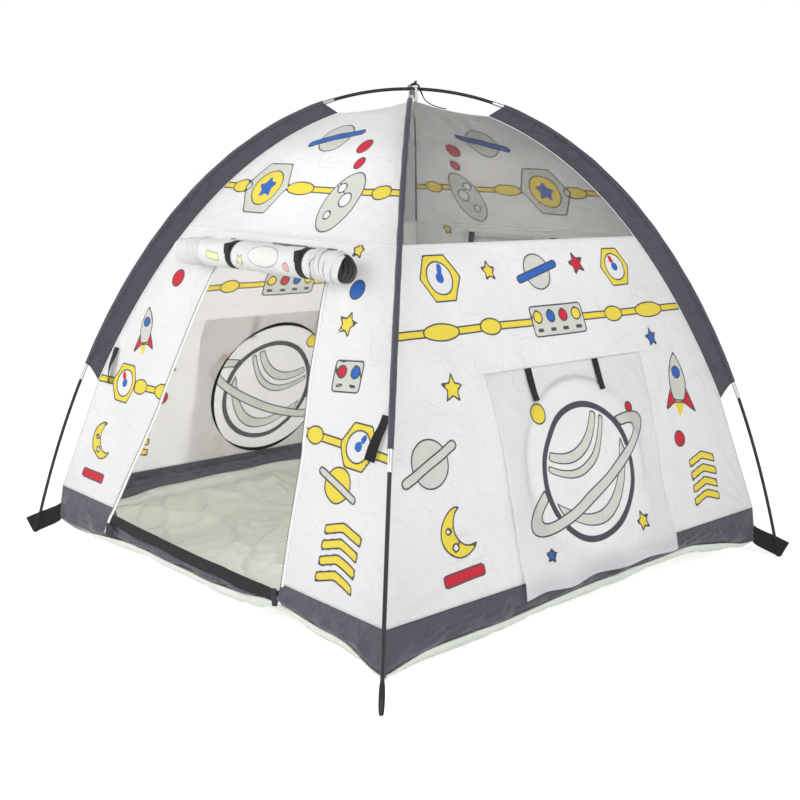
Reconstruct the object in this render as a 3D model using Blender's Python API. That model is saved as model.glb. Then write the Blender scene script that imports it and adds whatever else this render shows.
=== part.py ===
"""A child's play tent: a square dome of printed cloth and mesh, held up by two crossed poles in sections.

Metres, +Z up. The origin is on the ground under the crossing, and the front door faces -Y.
Each wall is worked out as the front wall, in its own x (along the wall), d (out from the centre) and z,
and is then turned about Z to its side. What lies along a pole is worked out as (out, up) in the upright
plane through that corner, at a distance s along the pole from the crossing.
"""

import math

import bmesh
import bpy
import numpy as np
from mathutils import Matrix, Vector

for old in list(bpy.data.objects):
    bpy.data.objects.remove(old, do_unlink=True)

CLEARANCE = 0.0003  # between pieces that touch on the real tent
OVERRUN = 0.02  # how far a cutter runs past the cloth that it cuts

# Poles: each bends in one curve over the tent, and is seven tubes on an elastic cord
POLE_TOP = 1.109  # centre line of the upper pole at the crossing
POLE_FOOT = 0.922  # centre line at the ground, out from the middle
CROWN_REACH = 0.404  # the curve's level handle at the crossing
FOOT_REACH = 0.706  # the curve's leaning handle near the ground
FOOT_STRAIGHT = 0.038  # the last stretch above the ground, which doesn't bend
FOOT_LEAN = math.radians(13.5)  # of the pole from upright at the ground
POLE_SECTIONS = 7
STEPS_PER_SECTION = 6
POLE_RADIUS = 0.00395
POLE_BORE = 0.0021
ELASTIC_RADIUS = 0.0013
FERRULE_LENGTH = 0.064
FERRULE_WALL = 0.0005
CROSSING_DIP = 0.18  # length beside the crossing in which the lower pole dips under the upper
TIP_LENGTH = 0.009
TIP_STEM_LENGTH = 0.012
TIP_NOSE_SHARE = 0.6
TUBE_SIDES = 8

# Cloth
CLOTH = 0.0012
CORNER_GAP = 0.0004  # half the gap where two walls meet at a corner
CANOPY_TOP = 1.079
CANOPY_HOLE = 0.006  # half the opening at the very top, under the ribbon
CROWN_SAG = 0.006  # dip of the free corner seam between the crown and the sleeve
CROWN_STEPS = 3
SEAM_HEIGHT = 0.773  # the level seam between the upper and lower cloth
SKIRT_TOP = 0.122  # the dark band
SKIRT_FOOT = 0.045
SKIRT_TOP_SIDE = 1.2045  # the tent's side at the band's top
FLOOR_SIDE = 1.220  # and where the floor's corners are held
FLOOR_CORNER_HEIGHT = 0.037

# Groundsheet: flat on the ground, and turned up at its edges to meet the band
FLOOR_THICK = 0.0015
FLOOR_FLAT_SIDE = 0.900

# Pole sleeves, sewn along the corner seams
SLEEVE_START = 0.217  # along the pole from the crossing
SLEEVE_END = 1.100
SLEEVE_SEAM_START = 0.190  # the sleeve is longer at its seam than at its pole
SLEEVE_SEAM_END = SLEEVE_END + 0.028
SLEEVE_WIDTH_START = 0.033  # from the pole's centre line in to the seam
SLEEVE_WIDTH_MIDDLE = 0.046
SLEEVE_WIDTH_END = 0.041
SLEEVE_WALL = 0.0008

# Doorways, in the front and back walls: the jambs' x at three heights
DOOR_TOP = 0.742
DOOR_MIDDLE = 0.372
DOOR_TOP_LEFT = 0.181
DOOR_TOP_RIGHT = 0.191
DOOR_MIDDLE_LEFT = 0.243
DOOR_MIDDLE_RIGHT = 0.284
DOOR_FOOT_LEFT = 0.342
DOOR_FOOT_RIGHT = 0.302
SILL_DROP = 0.016  # how far the band sags below its own top at the doorway
DOOR_SEAM_HEIGHT = 0.757  # where each door is sewn to its wall, and swings

# Back door, hanging shut outside its doorway
DOOR_LAP = 0.018  # it laps the wall by this at each side
BACK_DOOR_FOOT = 0.078
BACK_DOOR_STANDOFF = 0.0006

# Front door, rolled up and tied over its doorway
ROLL_RADIUS = 0.0305
ROLL_CORE = 0.0205
ROLL_TURNS = 4
ROLL_TURN_POINTS = 16
ROLL_REST = 0.710  # the height at which it rests on the wall
ROLL_LEFT = 0.285  # the ends of the wide hem, at the roll's core
ROLL_RIGHT = 0.300
ROLL_TIE_WIDTH = 0.021
ROLL_TIE_LEFT = 0.076
ROLL_TIE_RIGHT = 0.175

# Tunnel ports and their flaps, in the right and left walls
PORT_RADIUS = 0.190
PORT_HEIGHT = 0.312
PORT_POINTS = 24
FLAP_NEAR = 0.250  # the flap's ends either side of the wall's middle
FLAP_FAR = 0.258
FLAP_TOP = 0.525
FLAP_FOOT = 0.092
FLAP_STANDOFF_TOP = 0.0010
FLAP_STANDOFF_FOOT = 0.008
FLAP_FOLD_DEPTH = 0.010
FLAP_FOLDS = 2
FLAP_COLUMNS = 13
FLAP_ROWS = 6

# Webbing
TIE_THICK = 0.0012
TIE_WIDTH = 0.020
FLAP_TIE_LENGTH = 0.070
FLAP_TIE_NEAR = 0.125
FLAP_TIE_FAR = 0.093
BACK_TIE_LENGTH = 0.065
BACK_TIE_LEFT = 0.123
BACK_TIE_RIGHT = 0.167
CORNER_STRAP_WIDTH = 0.021
CORNER_STRAP_LENGTH = 0.088
CORNER_STRAP_RISE = 0.0846  # of its seam above the sleeve's lower end
CORNER_STRAP_INSET = 0.006  # from the corner seam to the strap's edge

# Anchors: doubled webbing slopes from each corner of the floor to the ground, with a pocket for the pole
ANCHOR_WIDTH = 0.043
ANCHOR_LENGTH = 0.101
ANCHOR_TOP = 0.081
ANCHOR_SLOPE = math.radians(26.7)
ANCHOR_THICK = 0.0024
POCKET_WALL = 0.0012
POCKET_INSET = 0.0015  # of the pocket's ends from the strap's edges
POCKET_REACH = 0.10

# Crown: a ribbon over the crossing, a knot on it, and the loose tail of the knot's tie
RIBBON_SPAN = 0.024
RIBBON_WIDTH = 0.008
RIBBON_THICK = 0.0010
KNOT_RADIUS = 0.0062
TAIL_RADIUS = 0.0012
TAIL_POINTS = (
    (0.0066, -0.0005, 1.1200),
    (0.0102, 0.0008, 1.1195),
    (0.0136, 0.0028, 1.1160),
    (0.0156, 0.0050, 1.1100),
    (0.0172, 0.0074, 1.1035),
    (0.0188, 0.0102, 1.0965),
    (0.0202, 0.0138, 1.0895),
    (0.0222, 0.0182, 1.0830),
    (0.0262, 0.0238, 1.0778),
    (0.0315, 0.0300, 1.0734),
    (0.0380, 0.0370, 1.0700),
    (0.0440, 0.0435, 1.0672),
    (0.0500, 0.0498, 1.0654),
    (0.0560, 0.0560, 1.0638),
)

FRONT, RIGHT, BACK, LEFT = (math.radians(turn) for turn in (0, 90, 180, 270))
DIAGONAL = math.sqrt(2)
UP = Vector((0, 0, 1))
CORNERS = {
    "front_right": Vector((1, -1, 0)).normalized(),
    "back_right": Vector((1, 1, 0)).normalized(),
    "back_left": Vector((-1, 1, 0)).normalized(),
    "front_left": Vector((-1, -1, 0)).normalized(),
}


def finish(name, colour, roughness, metallic=0.0):
    """A material of one colour, given as linear red, green and blue."""
    material = bpy.data.materials.new(name)
    material.use_nodes = True
    shader = material.node_tree.nodes["Principled BSDF"]
    shader.inputs["Base Color"].default_value = (*colour, 1.0)
    shader.inputs["Roughness"].default_value = roughness
    shader.inputs["Metallic"].default_value = metallic
    material.diffuse_color = (*colour, 1.0)
    return material


WHITE_CLOTH = finish("white_cloth", (0.80, 0.81, 0.80), 0.85)
GREY_CLOTH = finish("grey_cloth", (0.075, 0.075, 0.095), 0.75)
NET = finish("window_net", (0.10, 0.10, 0.10), 0.9)
GROUNDSHEET = finish("groundsheet", (0.60, 0.63, 0.55), 0.55)
BLACK_WEBBING = finish("black_webbing", (0.012, 0.012, 0.014), 0.85)
WHITE_RIBBON = finish("white_ribbon", (0.75, 0.75, 0.75), 0.8)
FIBREGLASS = finish("fibreglass", (0.018, 0.019, 0.020), 0.35)
BLACK_PLASTIC = finish("black_plastic", (0.015, 0.015, 0.015), 0.5)
ELASTIC = finish("elastic_cord", (0.70, 0.70, 0.68), 0.8)


def ring_solid(name, rings, material, cyclic=False, origin=(0, 0, 0), smooth=False, matched=False):
    """A solid skinned over rings of world points, with its origin at the given place.

    A cyclic one joins its last ring to its first, as a tube's bore joins its outside. Any other is
    capped at its first and last rings. On a matched one the second half of each ring is the cloth's
    other side, and both sides are split along the same diagonals, so that a fold keeps its thickness.
    """
    start = Vector(origin)
    count = len(rings[0])
    points = [Vector(point) - start for ring in rings for point in ring]
    faces = []
    for k in range(len(rings) if cyclic else len(rings) - 1):
        here, there = k * count, (k + 1) % len(rings) * count
        for i in range(count):
            j = (i + 1) % count
            a, b, c, d = here + i, here + j, there + j, there + i
            if not matched:
                faces.append((a, b, c, d))
            elif 2 * i < count:
                faces += [(a, b, c), (a, c, d)]
            else:
                faces += [(a, b, d), (b, c, d)]
    if not cyclic:
        faces += [tuple(range(count)), tuple(range(len(points) - count, len(points)))]
    mesh = bpy.data.meshes.new(name)
    mesh.from_pydata(points, [], faces)
    edit = bmesh.new()
    edit.from_mesh(mesh)
    bmesh.ops.recalc_face_normals(edit, faces=edit.faces)
    edit.to_mesh(mesh)
    edit.free()
    mesh.materials.append(material)
    if smooth:
        mesh.shade_smooth()
        mesh.set_sharp_from_angle(angle=math.radians(40))
    made = bpy.data.objects.new(name, mesh)
    made.location = start
    bpy.context.scene.collection.objects.link(made)
    return made


def combine(target, other, operation):
    """Joins the other shape to the target, or takes it out."""
    other.hide_render = True
    other.display_type = "WIRE"
    boolean = target.modifiers.new(operation.lower(), "BOOLEAN")
    boolean.operation = operation
    boolean.object = other


def turned(point, turn):
    """A front-wall point, carried to the wall that faces the given way."""
    return Matrix.Rotation(turn, 3, "Z") @ Vector(point)


# The pole's curve

def bezier(a, b, c, d, count):
    """Points of the cubic curve with these four handles."""
    a, b, c, d = (np.array(handle) for handle in (a, b, c, d))
    t = np.linspace(0, 1, count)[:, None]
    return (1 - t) ** 3 * a + 3 * (1 - t) ** 2 * t * b + 3 * (1 - t) * t**2 * c + t**3 * d


def above_foot(length):
    """(out, up) of a place on the leaning line through the pole's foot."""
    return (POLE_FOOT - length * math.sin(FOOT_LEAN), length * math.cos(FOOT_LEAN))


CURVE_COUNT = 2000
bend = bezier(
    (0, POLE_TOP), (CROWN_REACH, POLE_TOP),
    above_foot(FOOT_STRAIGHT + FOOT_REACH), above_foot(FOOT_STRAIGHT), CURVE_COUNT,
)
CURVE = np.vstack((bend, above_foot(0)))
CURVE_LENGTH = np.concatenate(([0], np.cumsum(np.hypot(*np.diff(CURVE, axis=0).T))))
HALF_POLE = float(CURVE_LENGTH[-1])
SECTION = 2 * HALF_POLE / POLE_SECTIONS
STEP = SECTION / STEPS_PER_SECTION
GRID = np.linspace(0, HALF_POLE, POLE_SECTIONS * STEPS_PER_SECTION // 2 + 1)
GRID_OUT = np.interp(GRID, CURVE_LENGTH, CURVE[:, 0])
GRID_UP = np.interp(GRID, CURVE_LENGTH, CURVE[:, 1])
LOWER_POLE_DROP = 2 * POLE_RADIUS + CLEARANCE


def stations(start, end):
    """Places from start to end: both, and each grid step between them."""
    low, high = min(start, end), max(start, end)
    steps = np.concatenate((-GRID[:0:-1], GRID))
    inside = [s for s in steps if low + CLEARANCE < s < high - CLEARANCE]
    return [start, *(inside if start < end else reversed(inside)), end]


def pole_point(s, drop=0.0):
    """(out, up) of the pole's centre line, with s negative on the far side of the crossing."""
    out = math.copysign(float(np.interp(abs(s), GRID, GRID_OUT)), s)
    near = max(0.0, 1 - abs(s) / CROSSING_DIP)
    return np.array((out, float(np.interp(abs(s), GRID, GRID_UP)) - drop * near**2 * (3 - 2 * near)))


def pole_along(s, drop=0.0):
    """The pole's direction, which at a grid step is the mean of its two sides."""
    ends = [min(max(s + way * STEP / 4, -HALF_POLE), HALF_POLE) for way in (-1, 1)]
    run = pole_point(ends[1], drop) - pole_point(ends[0], drop)
    return run / np.linalg.norm(run)


def in_from_pole(s, drop=0.0):
    """The direction from the pole in towards the tent, square to the pole."""
    along = pole_along(s, drop)
    return np.array((along[1], -along[0]))


def around_pole(out, s, offsets, drop=0.0):
    """World points round the pole at s, from offsets (in towards the tent, sideways, along)."""
    along, inward = pole_along(s, drop), in_from_pole(s, drop)
    middle = pole_point(s, drop)
    side = out.cross(UP)
    points = []
    for n, b, t in offsets:
        place = middle + inward * n + along * t
        points.append(out * float(place[0]) + UP * float(place[1]) + side * b)
    return points


def circle(radius, sides=TUBE_SIDES):
    """Offsets of a circle round the pole's centre line."""
    angles = [2 * math.pi * (i + 0.5) / sides for i in range(sides)]
    return [(radius * math.cos(a), radius * math.sin(a), 0.0) for a in angles]


def along_pole(name, out, profile, material, cyclic, drop=0.0):
    """A round solid whose profile, a list of (s, radius), is carried round the pole's bent line."""
    rings = []
    after = profile[1:] + profile[:1] if cyclic else profile[1:]
    for (start, radius), (end, next_radius) in zip(profile, after):
        places = stations(start, end)[:-1] if start != end else [start]
        for s in places:
            share = (s - start) / (end - start) if start != end else 0
            rings.append(around_pole(out, s, circle(radius + (next_radius - radius) * share), drop))
    if not cyclic:
        rings.append(around_pole(out, profile[-1][0], circle(profile[-1][1]), drop))
    return ring_solid(name, rings, material, cyclic=cyclic, smooth=True)


# Poles: sections with their bonded ferrules, elastic cords and tips

FERRULE_BORE = POLE_RADIUS + CLEARANCE
FERRULE_RADIUS = FERRULE_BORE + FERRULE_WALL
TIP_NOSE = POLE_RADIUS * TIP_NOSE_SHARE
TIP_END = HALF_POLE - TIP_NOSE * math.tan(FOOT_LEAN)
POLE_END = TIP_END - TIP_LENGTH - CLEARANCE
TIP_STEM_TOP = POLE_END - TIP_STEM_LENGTH


def pole_section(name, out, tail, head, drop):
    """A tube from tail to head, with a ferrule bonded over its head that the next tube pushes into."""
    half = math.copysign(FERRULE_LENGTH / 2, head - tail)
    profile = [
        (tail, POLE_RADIUS), (head - half, POLE_RADIUS), (head - half, FERRULE_RADIUS),
        (head + half, FERRULE_RADIUS), (head + half, FERRULE_BORE), (head, FERRULE_BORE),
        (head, POLE_BORE), (tail, POLE_BORE),
    ]
    along_pole(name, out, profile, FIBREGLASS, True, drop)


def middle_section(name, out, tail, head, drop):
    """The tube over the crossing, which pushes into a ferrule at each end."""
    profile = [(tail, POLE_RADIUS), (head, POLE_RADIUS), (head, POLE_BORE), (tail, POLE_BORE)]
    along_pole(name, out, profile, FIBREGLASS, True, drop)


def pole(label, out, drop):
    """One pole: seven sections, numbered from one foot to the other, and the cord through them."""
    middle = POLE_SECTIONS // 2
    edges = [(k - POLE_SECTIONS / 2) * SECTION for k in range(POLE_SECTIONS + 1)]
    edges[0], edges[-1] = -POLE_END, POLE_END
    for k in range(POLE_SECTIONS):
        name = f"{label}_section_{k + 1}"
        low = edges[k] + (CLEARANCE if 0 < k <= middle else 0)
        high = edges[k + 1] - (CLEARANCE if middle <= k < POLE_SECTIONS - 1 else 0)
        if k < middle:
            pole_section(name, out, low, high, drop)
        elif k > middle:
            pole_section(name, out, high, low, drop)
        else:
            middle_section(name, out, low, high, drop)
    cord_end = TIP_STEM_TOP - CLEARANCE
    cord = [(-cord_end, ELASTIC_RADIUS), (cord_end, ELASTIC_RADIUS)]
    along_pole(f"{label}_elastic_cord", out, cord, ELASTIC, False, drop)


def pole_tip(name, out):
    """The plug in a pole's foot, which holds the elastic cord and rests on the ground."""
    stem = POLE_BORE - CLEARANCE
    profile = [
        (TIP_STEM_TOP, stem), (TIP_END - TIP_LENGTH, stem), (TIP_END - TIP_LENGTH, POLE_RADIUS),
        (TIP_END - POLE_RADIUS / 2, POLE_RADIUS), (TIP_END, TIP_NOSE),
    ]
    along_pole(name, out, profile, BLACK_PLASTIC, False)


pole("upper_pole", CORNERS["back_right"], 0.0)
pole("lower_pole", CORNERS["front_right"], LOWER_POLE_DROP)
for corner, out in CORNERS.items():
    pole_tip(f"{corner}_pole_tip", out)


# The corner seam, where two walls meet, as (out, up), and the wall's outline from it

def sleeve_width(s):
    """From the pole's centre line to the seam, widest half way down the sleeve."""
    share = (s - SLEEVE_SEAM_START) / (SLEEVE_SEAM_END - SLEEVE_SEAM_START)
    straight = SLEEVE_WIDTH_START * (1 - share) + SLEEVE_WIDTH_END * share
    swell = SLEEVE_WIDTH_MIDDLE - (SLEEVE_WIDTH_START + SLEEVE_WIDTH_END) / 2
    return straight + swell * 4 * share * (1 - share)


def seam_beside_pole(s):
    return pole_point(s) + in_from_pole(s) * sleeve_width(s)


def crown_seam():
    """The free seam from the crown to the sleeve, which sags a little."""
    hole, end = CANOPY_HOLE * DIAGONAL, seam_beside_pole(SLEEVE_SEAM_START)
    shares = np.arange(CROWN_STEPS) / CROWN_STEPS
    out = hole + (end[0] - hole) * shares
    up = CANOPY_TOP + (end[1] - CANOPY_TOP) * shares - CROWN_SAG * 4 * shares * (1 - shares)
    return list(np.stack((out, up), axis=1))


SEAM = np.array([
    *crown_seam(),
    *(seam_beside_pole(s) for s in stations(SLEEVE_SEAM_START, SLEEVE_SEAM_END)),
    (SKIRT_TOP_SIDE / DIAGONAL, SKIRT_TOP),
    (FLOOR_SIDE / DIAGONAL, FLOOR_CORNER_HEIGHT),
])
WALL_D, WALL_Z = SEAM[:, 0] / DIAGONAL, SEAM[:, 1]
WALL_RUN = np.concatenate(([0], np.cumsum(np.hypot(np.diff(WALL_D), np.diff(WALL_Z)))))


def wall_at(run):
    """(d, z) of the wall's outer face at a distance down its slope from the crown."""
    return np.array((np.interp(run, WALL_RUN, WALL_D), np.interp(run, WALL_RUN, WALL_Z)))


def run_at(height):
    """How far down the slope the wall reaches a height."""
    return float(np.interp(-height, -WALL_Z, WALL_RUN))


def wall_rows(top_run, foot_run, extra=()):
    """Distances down the slope from top to foot, with each bend of the wall between them."""
    rows = [top_run]
    for run in sorted((*WALL_RUN, *extra)):
        if rows[-1] + CLOTH < run < foot_run - CLOTH:
            rows.append(run)
    return [*rows, foot_run]


def offset_rows(rows, distances):
    """The wall's outline at rows, moved out of its outer face by a distance at each row."""
    line = np.array([wall_at(run) for run in rows])
    steps = np.diff(line, axis=0)
    steps /= np.linalg.norm(steps, axis=1)[:, None]
    along = np.vstack((steps[:1], steps[:-1] + steps[1:], steps[-1:]))
    along /= np.linalg.norm(along, axis=1)[:, None]
    outward = np.stack((-along[:, 1], along[:, 0]), axis=1)
    return line + outward * np.asarray(distances)[:, None]


def off_wall(run, lift):
    """(d, z) at a distance down the slope, lifted out of the wall's outer face."""
    return offset_rows([run - CLEARANCE, run + CLEARANCE], [lift, lift]).mean(axis=0)


def on_wall(x, run, lift, turn):
    """The same place in the world, at x along the wall."""
    d, z = off_wall(run, lift)
    return turned((x, -d, z), turn)


def cloth_panel(name, turn, rows, edges, standoffs, thick, material, origin=(0, 0, 0)):
    """Cloth on a wall, whose inner face stands off the wall's outer face by standoffs.

    edges(d, z) gives the left and right x of a row.
    """
    inner = offset_rows(rows, standoffs)
    outer = offset_rows(rows, np.asarray(standoffs) + thick)
    rings = []
    for (d, z), (e, w) in zip(outer, inner):
        left, right = edges(d, z)
        inner_left, inner_right = edges(e, w)
        ring = ((left, -d, z), (right, -d, z), (inner_right, -e, w), (inner_left, -e, w))
        rings.append([turned(point, turn) for point in ring])
    return ring_solid(name, rings, material, origin=origin)


def full_width(d, z):
    """A wall that runs to both corners and is mitred there."""
    return CORNER_GAP - d, d - CORNER_GAP


HALF_GAP = CLEARANCE / 2


def wall_panel(name, turn, top_run, foot_run, material):
    """A panel of the wall itself, whose outer face is the wall's."""
    rows = wall_rows(top_run + HALF_GAP, foot_run - HALF_GAP)
    return cloth_panel(name, turn, rows, full_width, [-CLOTH] * len(rows), CLOTH, material)


CROWN_RUN, SEAM_RUN, SKIRT_RUN = 0.0, run_at(SEAM_HEIGHT), run_at(SKIRT_TOP)
SKIRT_FOOT_RUN = run_at(SKIRT_FOOT)
DOOR_RUN = run_at(DOOR_SEAM_HEIGHT)


def opening_cutter(name, turn, outline):
    """A block through a wall, from its outline as (x, z)."""
    near, far = wall_at(SEAM_RUN)[0] - OVERRUN, FLOOR_SIDE / 2 + OVERRUN
    rings = [[turned((x, -d, z), turn) for x, z in outline] for d in (near, far)]
    return ring_solid(name, rings, WHITE_CLOTH)


# Doorways

def jamb(height, foot, middle, top):
    return float(np.interp(height, (SKIRT_TOP, DOOR_MIDDLE, DOOR_TOP), (foot, middle, top)))


def left_jamb(height):
    return -jamb(height, DOOR_FOOT_LEFT, DOOR_MIDDLE_LEFT, DOOR_TOP_LEFT)


def right_jamb(height):
    return jamb(height, DOOR_FOOT_RIGHT, DOOR_MIDDLE_RIGHT, DOOR_TOP_RIGHT)


def doorway_outline(heights):
    return [(left_jamb(z), z) for z in heights] + [(right_jamb(z), z) for z in reversed(heights)]


for name, turn in (("front", FRONT), ("back", BACK)):
    wall_panel(f"{name}_upper_wall", turn, CROWN_RUN, SEAM_RUN, WHITE_CLOTH)
    wall = wall_panel(f"{name}_lower_wall", turn, SEAM_RUN, SKIRT_RUN, WHITE_CLOTH)
    doorway = doorway_outline((SKIRT_TOP - OVERRUN, DOOR_MIDDLE, DOOR_TOP))
    combine(wall, opening_cutter(f"cut_{name}_doorway", turn, doorway), "DIFFERENCE")
    band = wall_panel(f"{name}_skirt", turn, SKIRT_RUN, SKIRT_FOOT_RUN, GREY_CLOTH)
    sill = doorway_outline((SKIRT_TOP - SILL_DROP, SKIRT_TOP + OVERRUN))
    combine(band, opening_cutter(f"cut_{name}_sill", turn, sill), "DIFFERENCE")


# Back door

def back_door():
    rows = wall_rows(DOOR_RUN, run_at(BACK_DOOR_FOOT), [run_at(DOOR_MIDDLE)])
    return cloth_panel(
        "back_door", BACK, rows, lambda d, z: (left_jamb(z) - DOOR_LAP, right_jamb(z) + DOOR_LAP),
        [BACK_DOOR_STANDOFF] * len(rows), CLOTH, WHITE_CLOTH, on_wall(0, DOOR_RUN, BACK_DOOR_STANDOFF, BACK),
    )


def back_door_tie(name, x):
    """A strap that hangs upright inside the back wall, from the seam over the door."""
    d, z = off_wall(DOOR_RUN, -CLOTH - CLEARANCE)
    half = TIE_WIDTH / 2
    corners = ((-half, 0), (half, 0), (half, TIE_THICK), (-half, TIE_THICK))
    rings = [
        [turned((x + across, depth - d, z - drop), BACK) for across, depth in corners]
        for drop in (0, BACK_TIE_LENGTH)
    ]
    return ring_solid(name, rings, BLACK_WEBBING, origin=turned((x, -d, z), BACK))


back_door()
back_door_tie("back_door_tie_left", -BACK_TIE_LEFT)
back_door_tie("back_door_tie_right", BACK_TIE_RIGHT)


# Front door, rolled up

ROLL_TIE_INNER = ROLL_RADIUS + CLEARANCE
ROLL_TIE_OUTER = ROLL_TIE_INNER + TIE_THICK
TIE_SWELL = 1 / math.cos(math.pi / ROLL_TURN_POINTS)  # keeps its flat steps clear of the roll's corners
DOOR_SEAM = on_wall(0, DOOR_RUN, CLEARANCE, FRONT)
ROLL_MIDDLE = on_wall(0, run_at(ROLL_REST), ROLL_TIE_OUTER * TIE_SWELL + CLEARANCE, FRONT)
TO_SEAM = DOOR_SEAM - ROLL_MIDDLE
SEAM_ANGLE = math.atan2(TO_SEAM.z, TO_SEAM.y)
TANGENT_ANGLE = math.acos(ROLL_RADIUS / TO_SEAM.length)


def on_roll(x, radius, angle):
    return ROLL_MIDDLE + Vector((x, radius * math.cos(angle), radius * math.sin(angle)))


def rolled_door():
    """One sheet from its seam down behind the roll, wound outwards and up to its wide hem inside."""
    steps = ROLL_TURNS * ROLL_TURN_POINTS
    start = SEAM_ANGLE - TANGENT_ANGLE
    lift = (on_roll(0, ROLL_RADIUS, start) - ROLL_MIDDLE).normalized() * CLOTH
    left, right = left_jamb(DOOR_TOP), right_jamb(DOOR_TOP)
    ends = Vector((left, 0, 0)), Vector((right, 0, 0))
    rings = [[
        DOOR_SEAM + ends[0], DOOR_SEAM + ends[1], DOOR_SEAM - lift + ends[1], DOOR_SEAM - lift + ends[0],
    ]]
    for k in range(steps + 1):
        share = k / steps
        radius = ROLL_RADIUS + (ROLL_CORE - ROLL_RADIUS) * share
        angle = start - 2 * math.pi * k / ROLL_TURN_POINTS
        near, far = left - (ROLL_LEFT + left) * share, right + (ROLL_RIGHT - right) * share
        rings.append([
            on_roll(near, radius, angle), on_roll(far, radius, angle),
            on_roll(far, radius - CLOTH, angle), on_roll(near, radius - CLOTH, angle),
        ])
    return ring_solid("rolled_front_door", rings, WHITE_CLOTH, origin=DOOR_SEAM, smooth=True)


def roll_tie(name, x):
    """A band of webbing round the roll, open where the sheet comes down from its seam."""
    opening = math.asin((CLOTH + TIE_THICK) / ROLL_RADIUS)
    first = SEAM_ANGLE - TANGENT_ANGLE - opening
    last = SEAM_ANGLE + TANGENT_ANGLE - 2 * math.pi
    half = ROLL_TIE_WIDTH / 2
    inner, outer = ROLL_TIE_INNER * TIE_SWELL, ROLL_TIE_OUTER * TIE_SWELL
    rings = []
    for k in range(ROLL_TURN_POINTS + 1):
        angle = first + (last - first) * k / ROLL_TURN_POINTS
        rings.append([
            on_roll(x - half, inner, angle), on_roll(x + half, inner, angle),
            on_roll(x + half, outer, angle), on_roll(x - half, outer, angle),
        ])
    return ring_solid(name, rings, BLACK_WEBBING, origin=DOOR_SEAM, smooth=True)


rolled_door()
roll_tie("roll_tie_left", -ROLL_TIE_LEFT)
roll_tie("roll_tie_right", ROLL_TIE_RIGHT)


# Tunnel ports and their flaps

def port_outline():
    """A circle laid on the sloping wall, seen square from the side."""
    middle = run_at(PORT_HEIGHT)
    angles = [2 * math.pi * i / PORT_POINTS for i in range(PORT_POINTS)]
    return [
        (PORT_RADIUS * math.cos(a), float(wall_at(middle - PORT_RADIUS * math.sin(a))[1])) for a in angles
    ]


def flap_lift(share_down, share_across=0.0):
    """How far the flap's inner face stands off the wall, with its folds deepest at the hem."""
    hang = FLAP_STANDOFF_TOP + (FLAP_STANDOFF_FOOT - FLAP_STANDOFF_TOP) * share_down
    fold = math.sin(math.pi * FLAP_FOLDS * share_across) ** 2
    return hang + FLAP_FOLD_DEPTH * fold * share_down**2


def port_flap(name, turn):
    """The cover that hangs from a seam over the port, in shallow folds."""
    top, foot = run_at(FLAP_TOP), run_at(FLAP_FOOT)
    rows = wall_rows(top, foot, np.linspace(top, foot, FLAP_ROWS))
    rings = []
    for column in range(FLAP_COLUMNS):
        across = column / (FLAP_COLUMNS - 1)
        x = -FLAP_NEAR + (FLAP_NEAR + FLAP_FAR) * across
        lifts = [flap_lift((run - top) / (foot - top), across) for run in rows]
        inner = offset_rows(rows, lifts)
        outer = offset_rows(rows, np.array(lifts) + CLOTH)
        rings.append([turned((x, -d, z), turn) for d, z in (*outer, *reversed(inner))])
    hinge = on_wall(0, top, FLAP_STANDOFF_TOP, turn)
    return ring_solid(name, rings, WHITE_CLOTH, origin=hinge, matched=True)


def flap_tie(name, turn, x):
    """A strap sewn at the flap's seam, which lies on the flap."""
    top, foot = run_at(FLAP_TOP), run_at(FLAP_FOOT)
    rows = wall_rows(top, top + FLAP_TIE_LENGTH)
    across = (x + FLAP_NEAR) / (FLAP_NEAR + FLAP_FAR)
    reach = FLAP_TIE_LENGTH / (foot - top)
    gap = CLOTH + CLEARANCE
    start = flap_lift(0) + gap
    end = max(flap_lift(reach, across + way * TIE_WIDTH) for way in (-1, 0, 1)) + gap
    lifts = [start + (end - start) * (run - top) / FLAP_TIE_LENGTH for run in rows]
    half = TIE_WIDTH / 2
    return cloth_panel(
        name, turn, rows, lambda d, z: (x - half, x + half), lifts, TIE_THICK, BLACK_WEBBING,
        on_wall(x, top, start, turn),
    )


for name, turn in (("right", RIGHT), ("left", LEFT)):
    wall_panel(f"{name}_window_net", turn, CROWN_RUN, SEAM_RUN, NET)
    wall = wall_panel(f"{name}_lower_wall", turn, SEAM_RUN, SKIRT_RUN, WHITE_CLOTH)
    combine(wall, opening_cutter(f"cut_{name}_port", turn, port_outline()), "DIFFERENCE")
    wall_panel(f"{name}_skirt", turn, SKIRT_RUN, SKIRT_FOOT_RUN, GREY_CLOTH)
    port_flap(f"{name}_port_flap", turn)
    flap_tie(f"{name}_flap_tie_near", turn, -FLAP_TIE_NEAR)
    flap_tie(f"{name}_flap_tie_far", turn, FLAP_TIE_FAR)


# Straps by the sleeves' lower ends, lying on the front and back walls

def corner_strap(name, turn, side):
    top = run_at(seam_beside_pole(SLEEVE_SEAM_END)[1] + CORNER_STRAP_RISE)
    rows = wall_rows(top, top + CORNER_STRAP_LENGTH)
    edge = wall_at(top)[0] - CORNER_STRAP_INSET
    left, right = sorted((side * edge, side * (edge - CORNER_STRAP_WIDTH)))
    return cloth_panel(
        name, turn, rows, lambda d, z: (left, right), [CLEARANCE] * len(rows), TIE_THICK,
        BLACK_WEBBING, on_wall((left + right) / 2, top, CLEARANCE, turn),
    )


corner_strap("front_left_strap", FRONT, -1)
corner_strap("front_right_strap", FRONT, 1)
corner_strap("back_left_strap", BACK, 1)
corner_strap("back_right_strap", BACK, -1)


# Sleeves: a fin from the corner seam out to the pole, with a tube that the pole runs through

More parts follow.
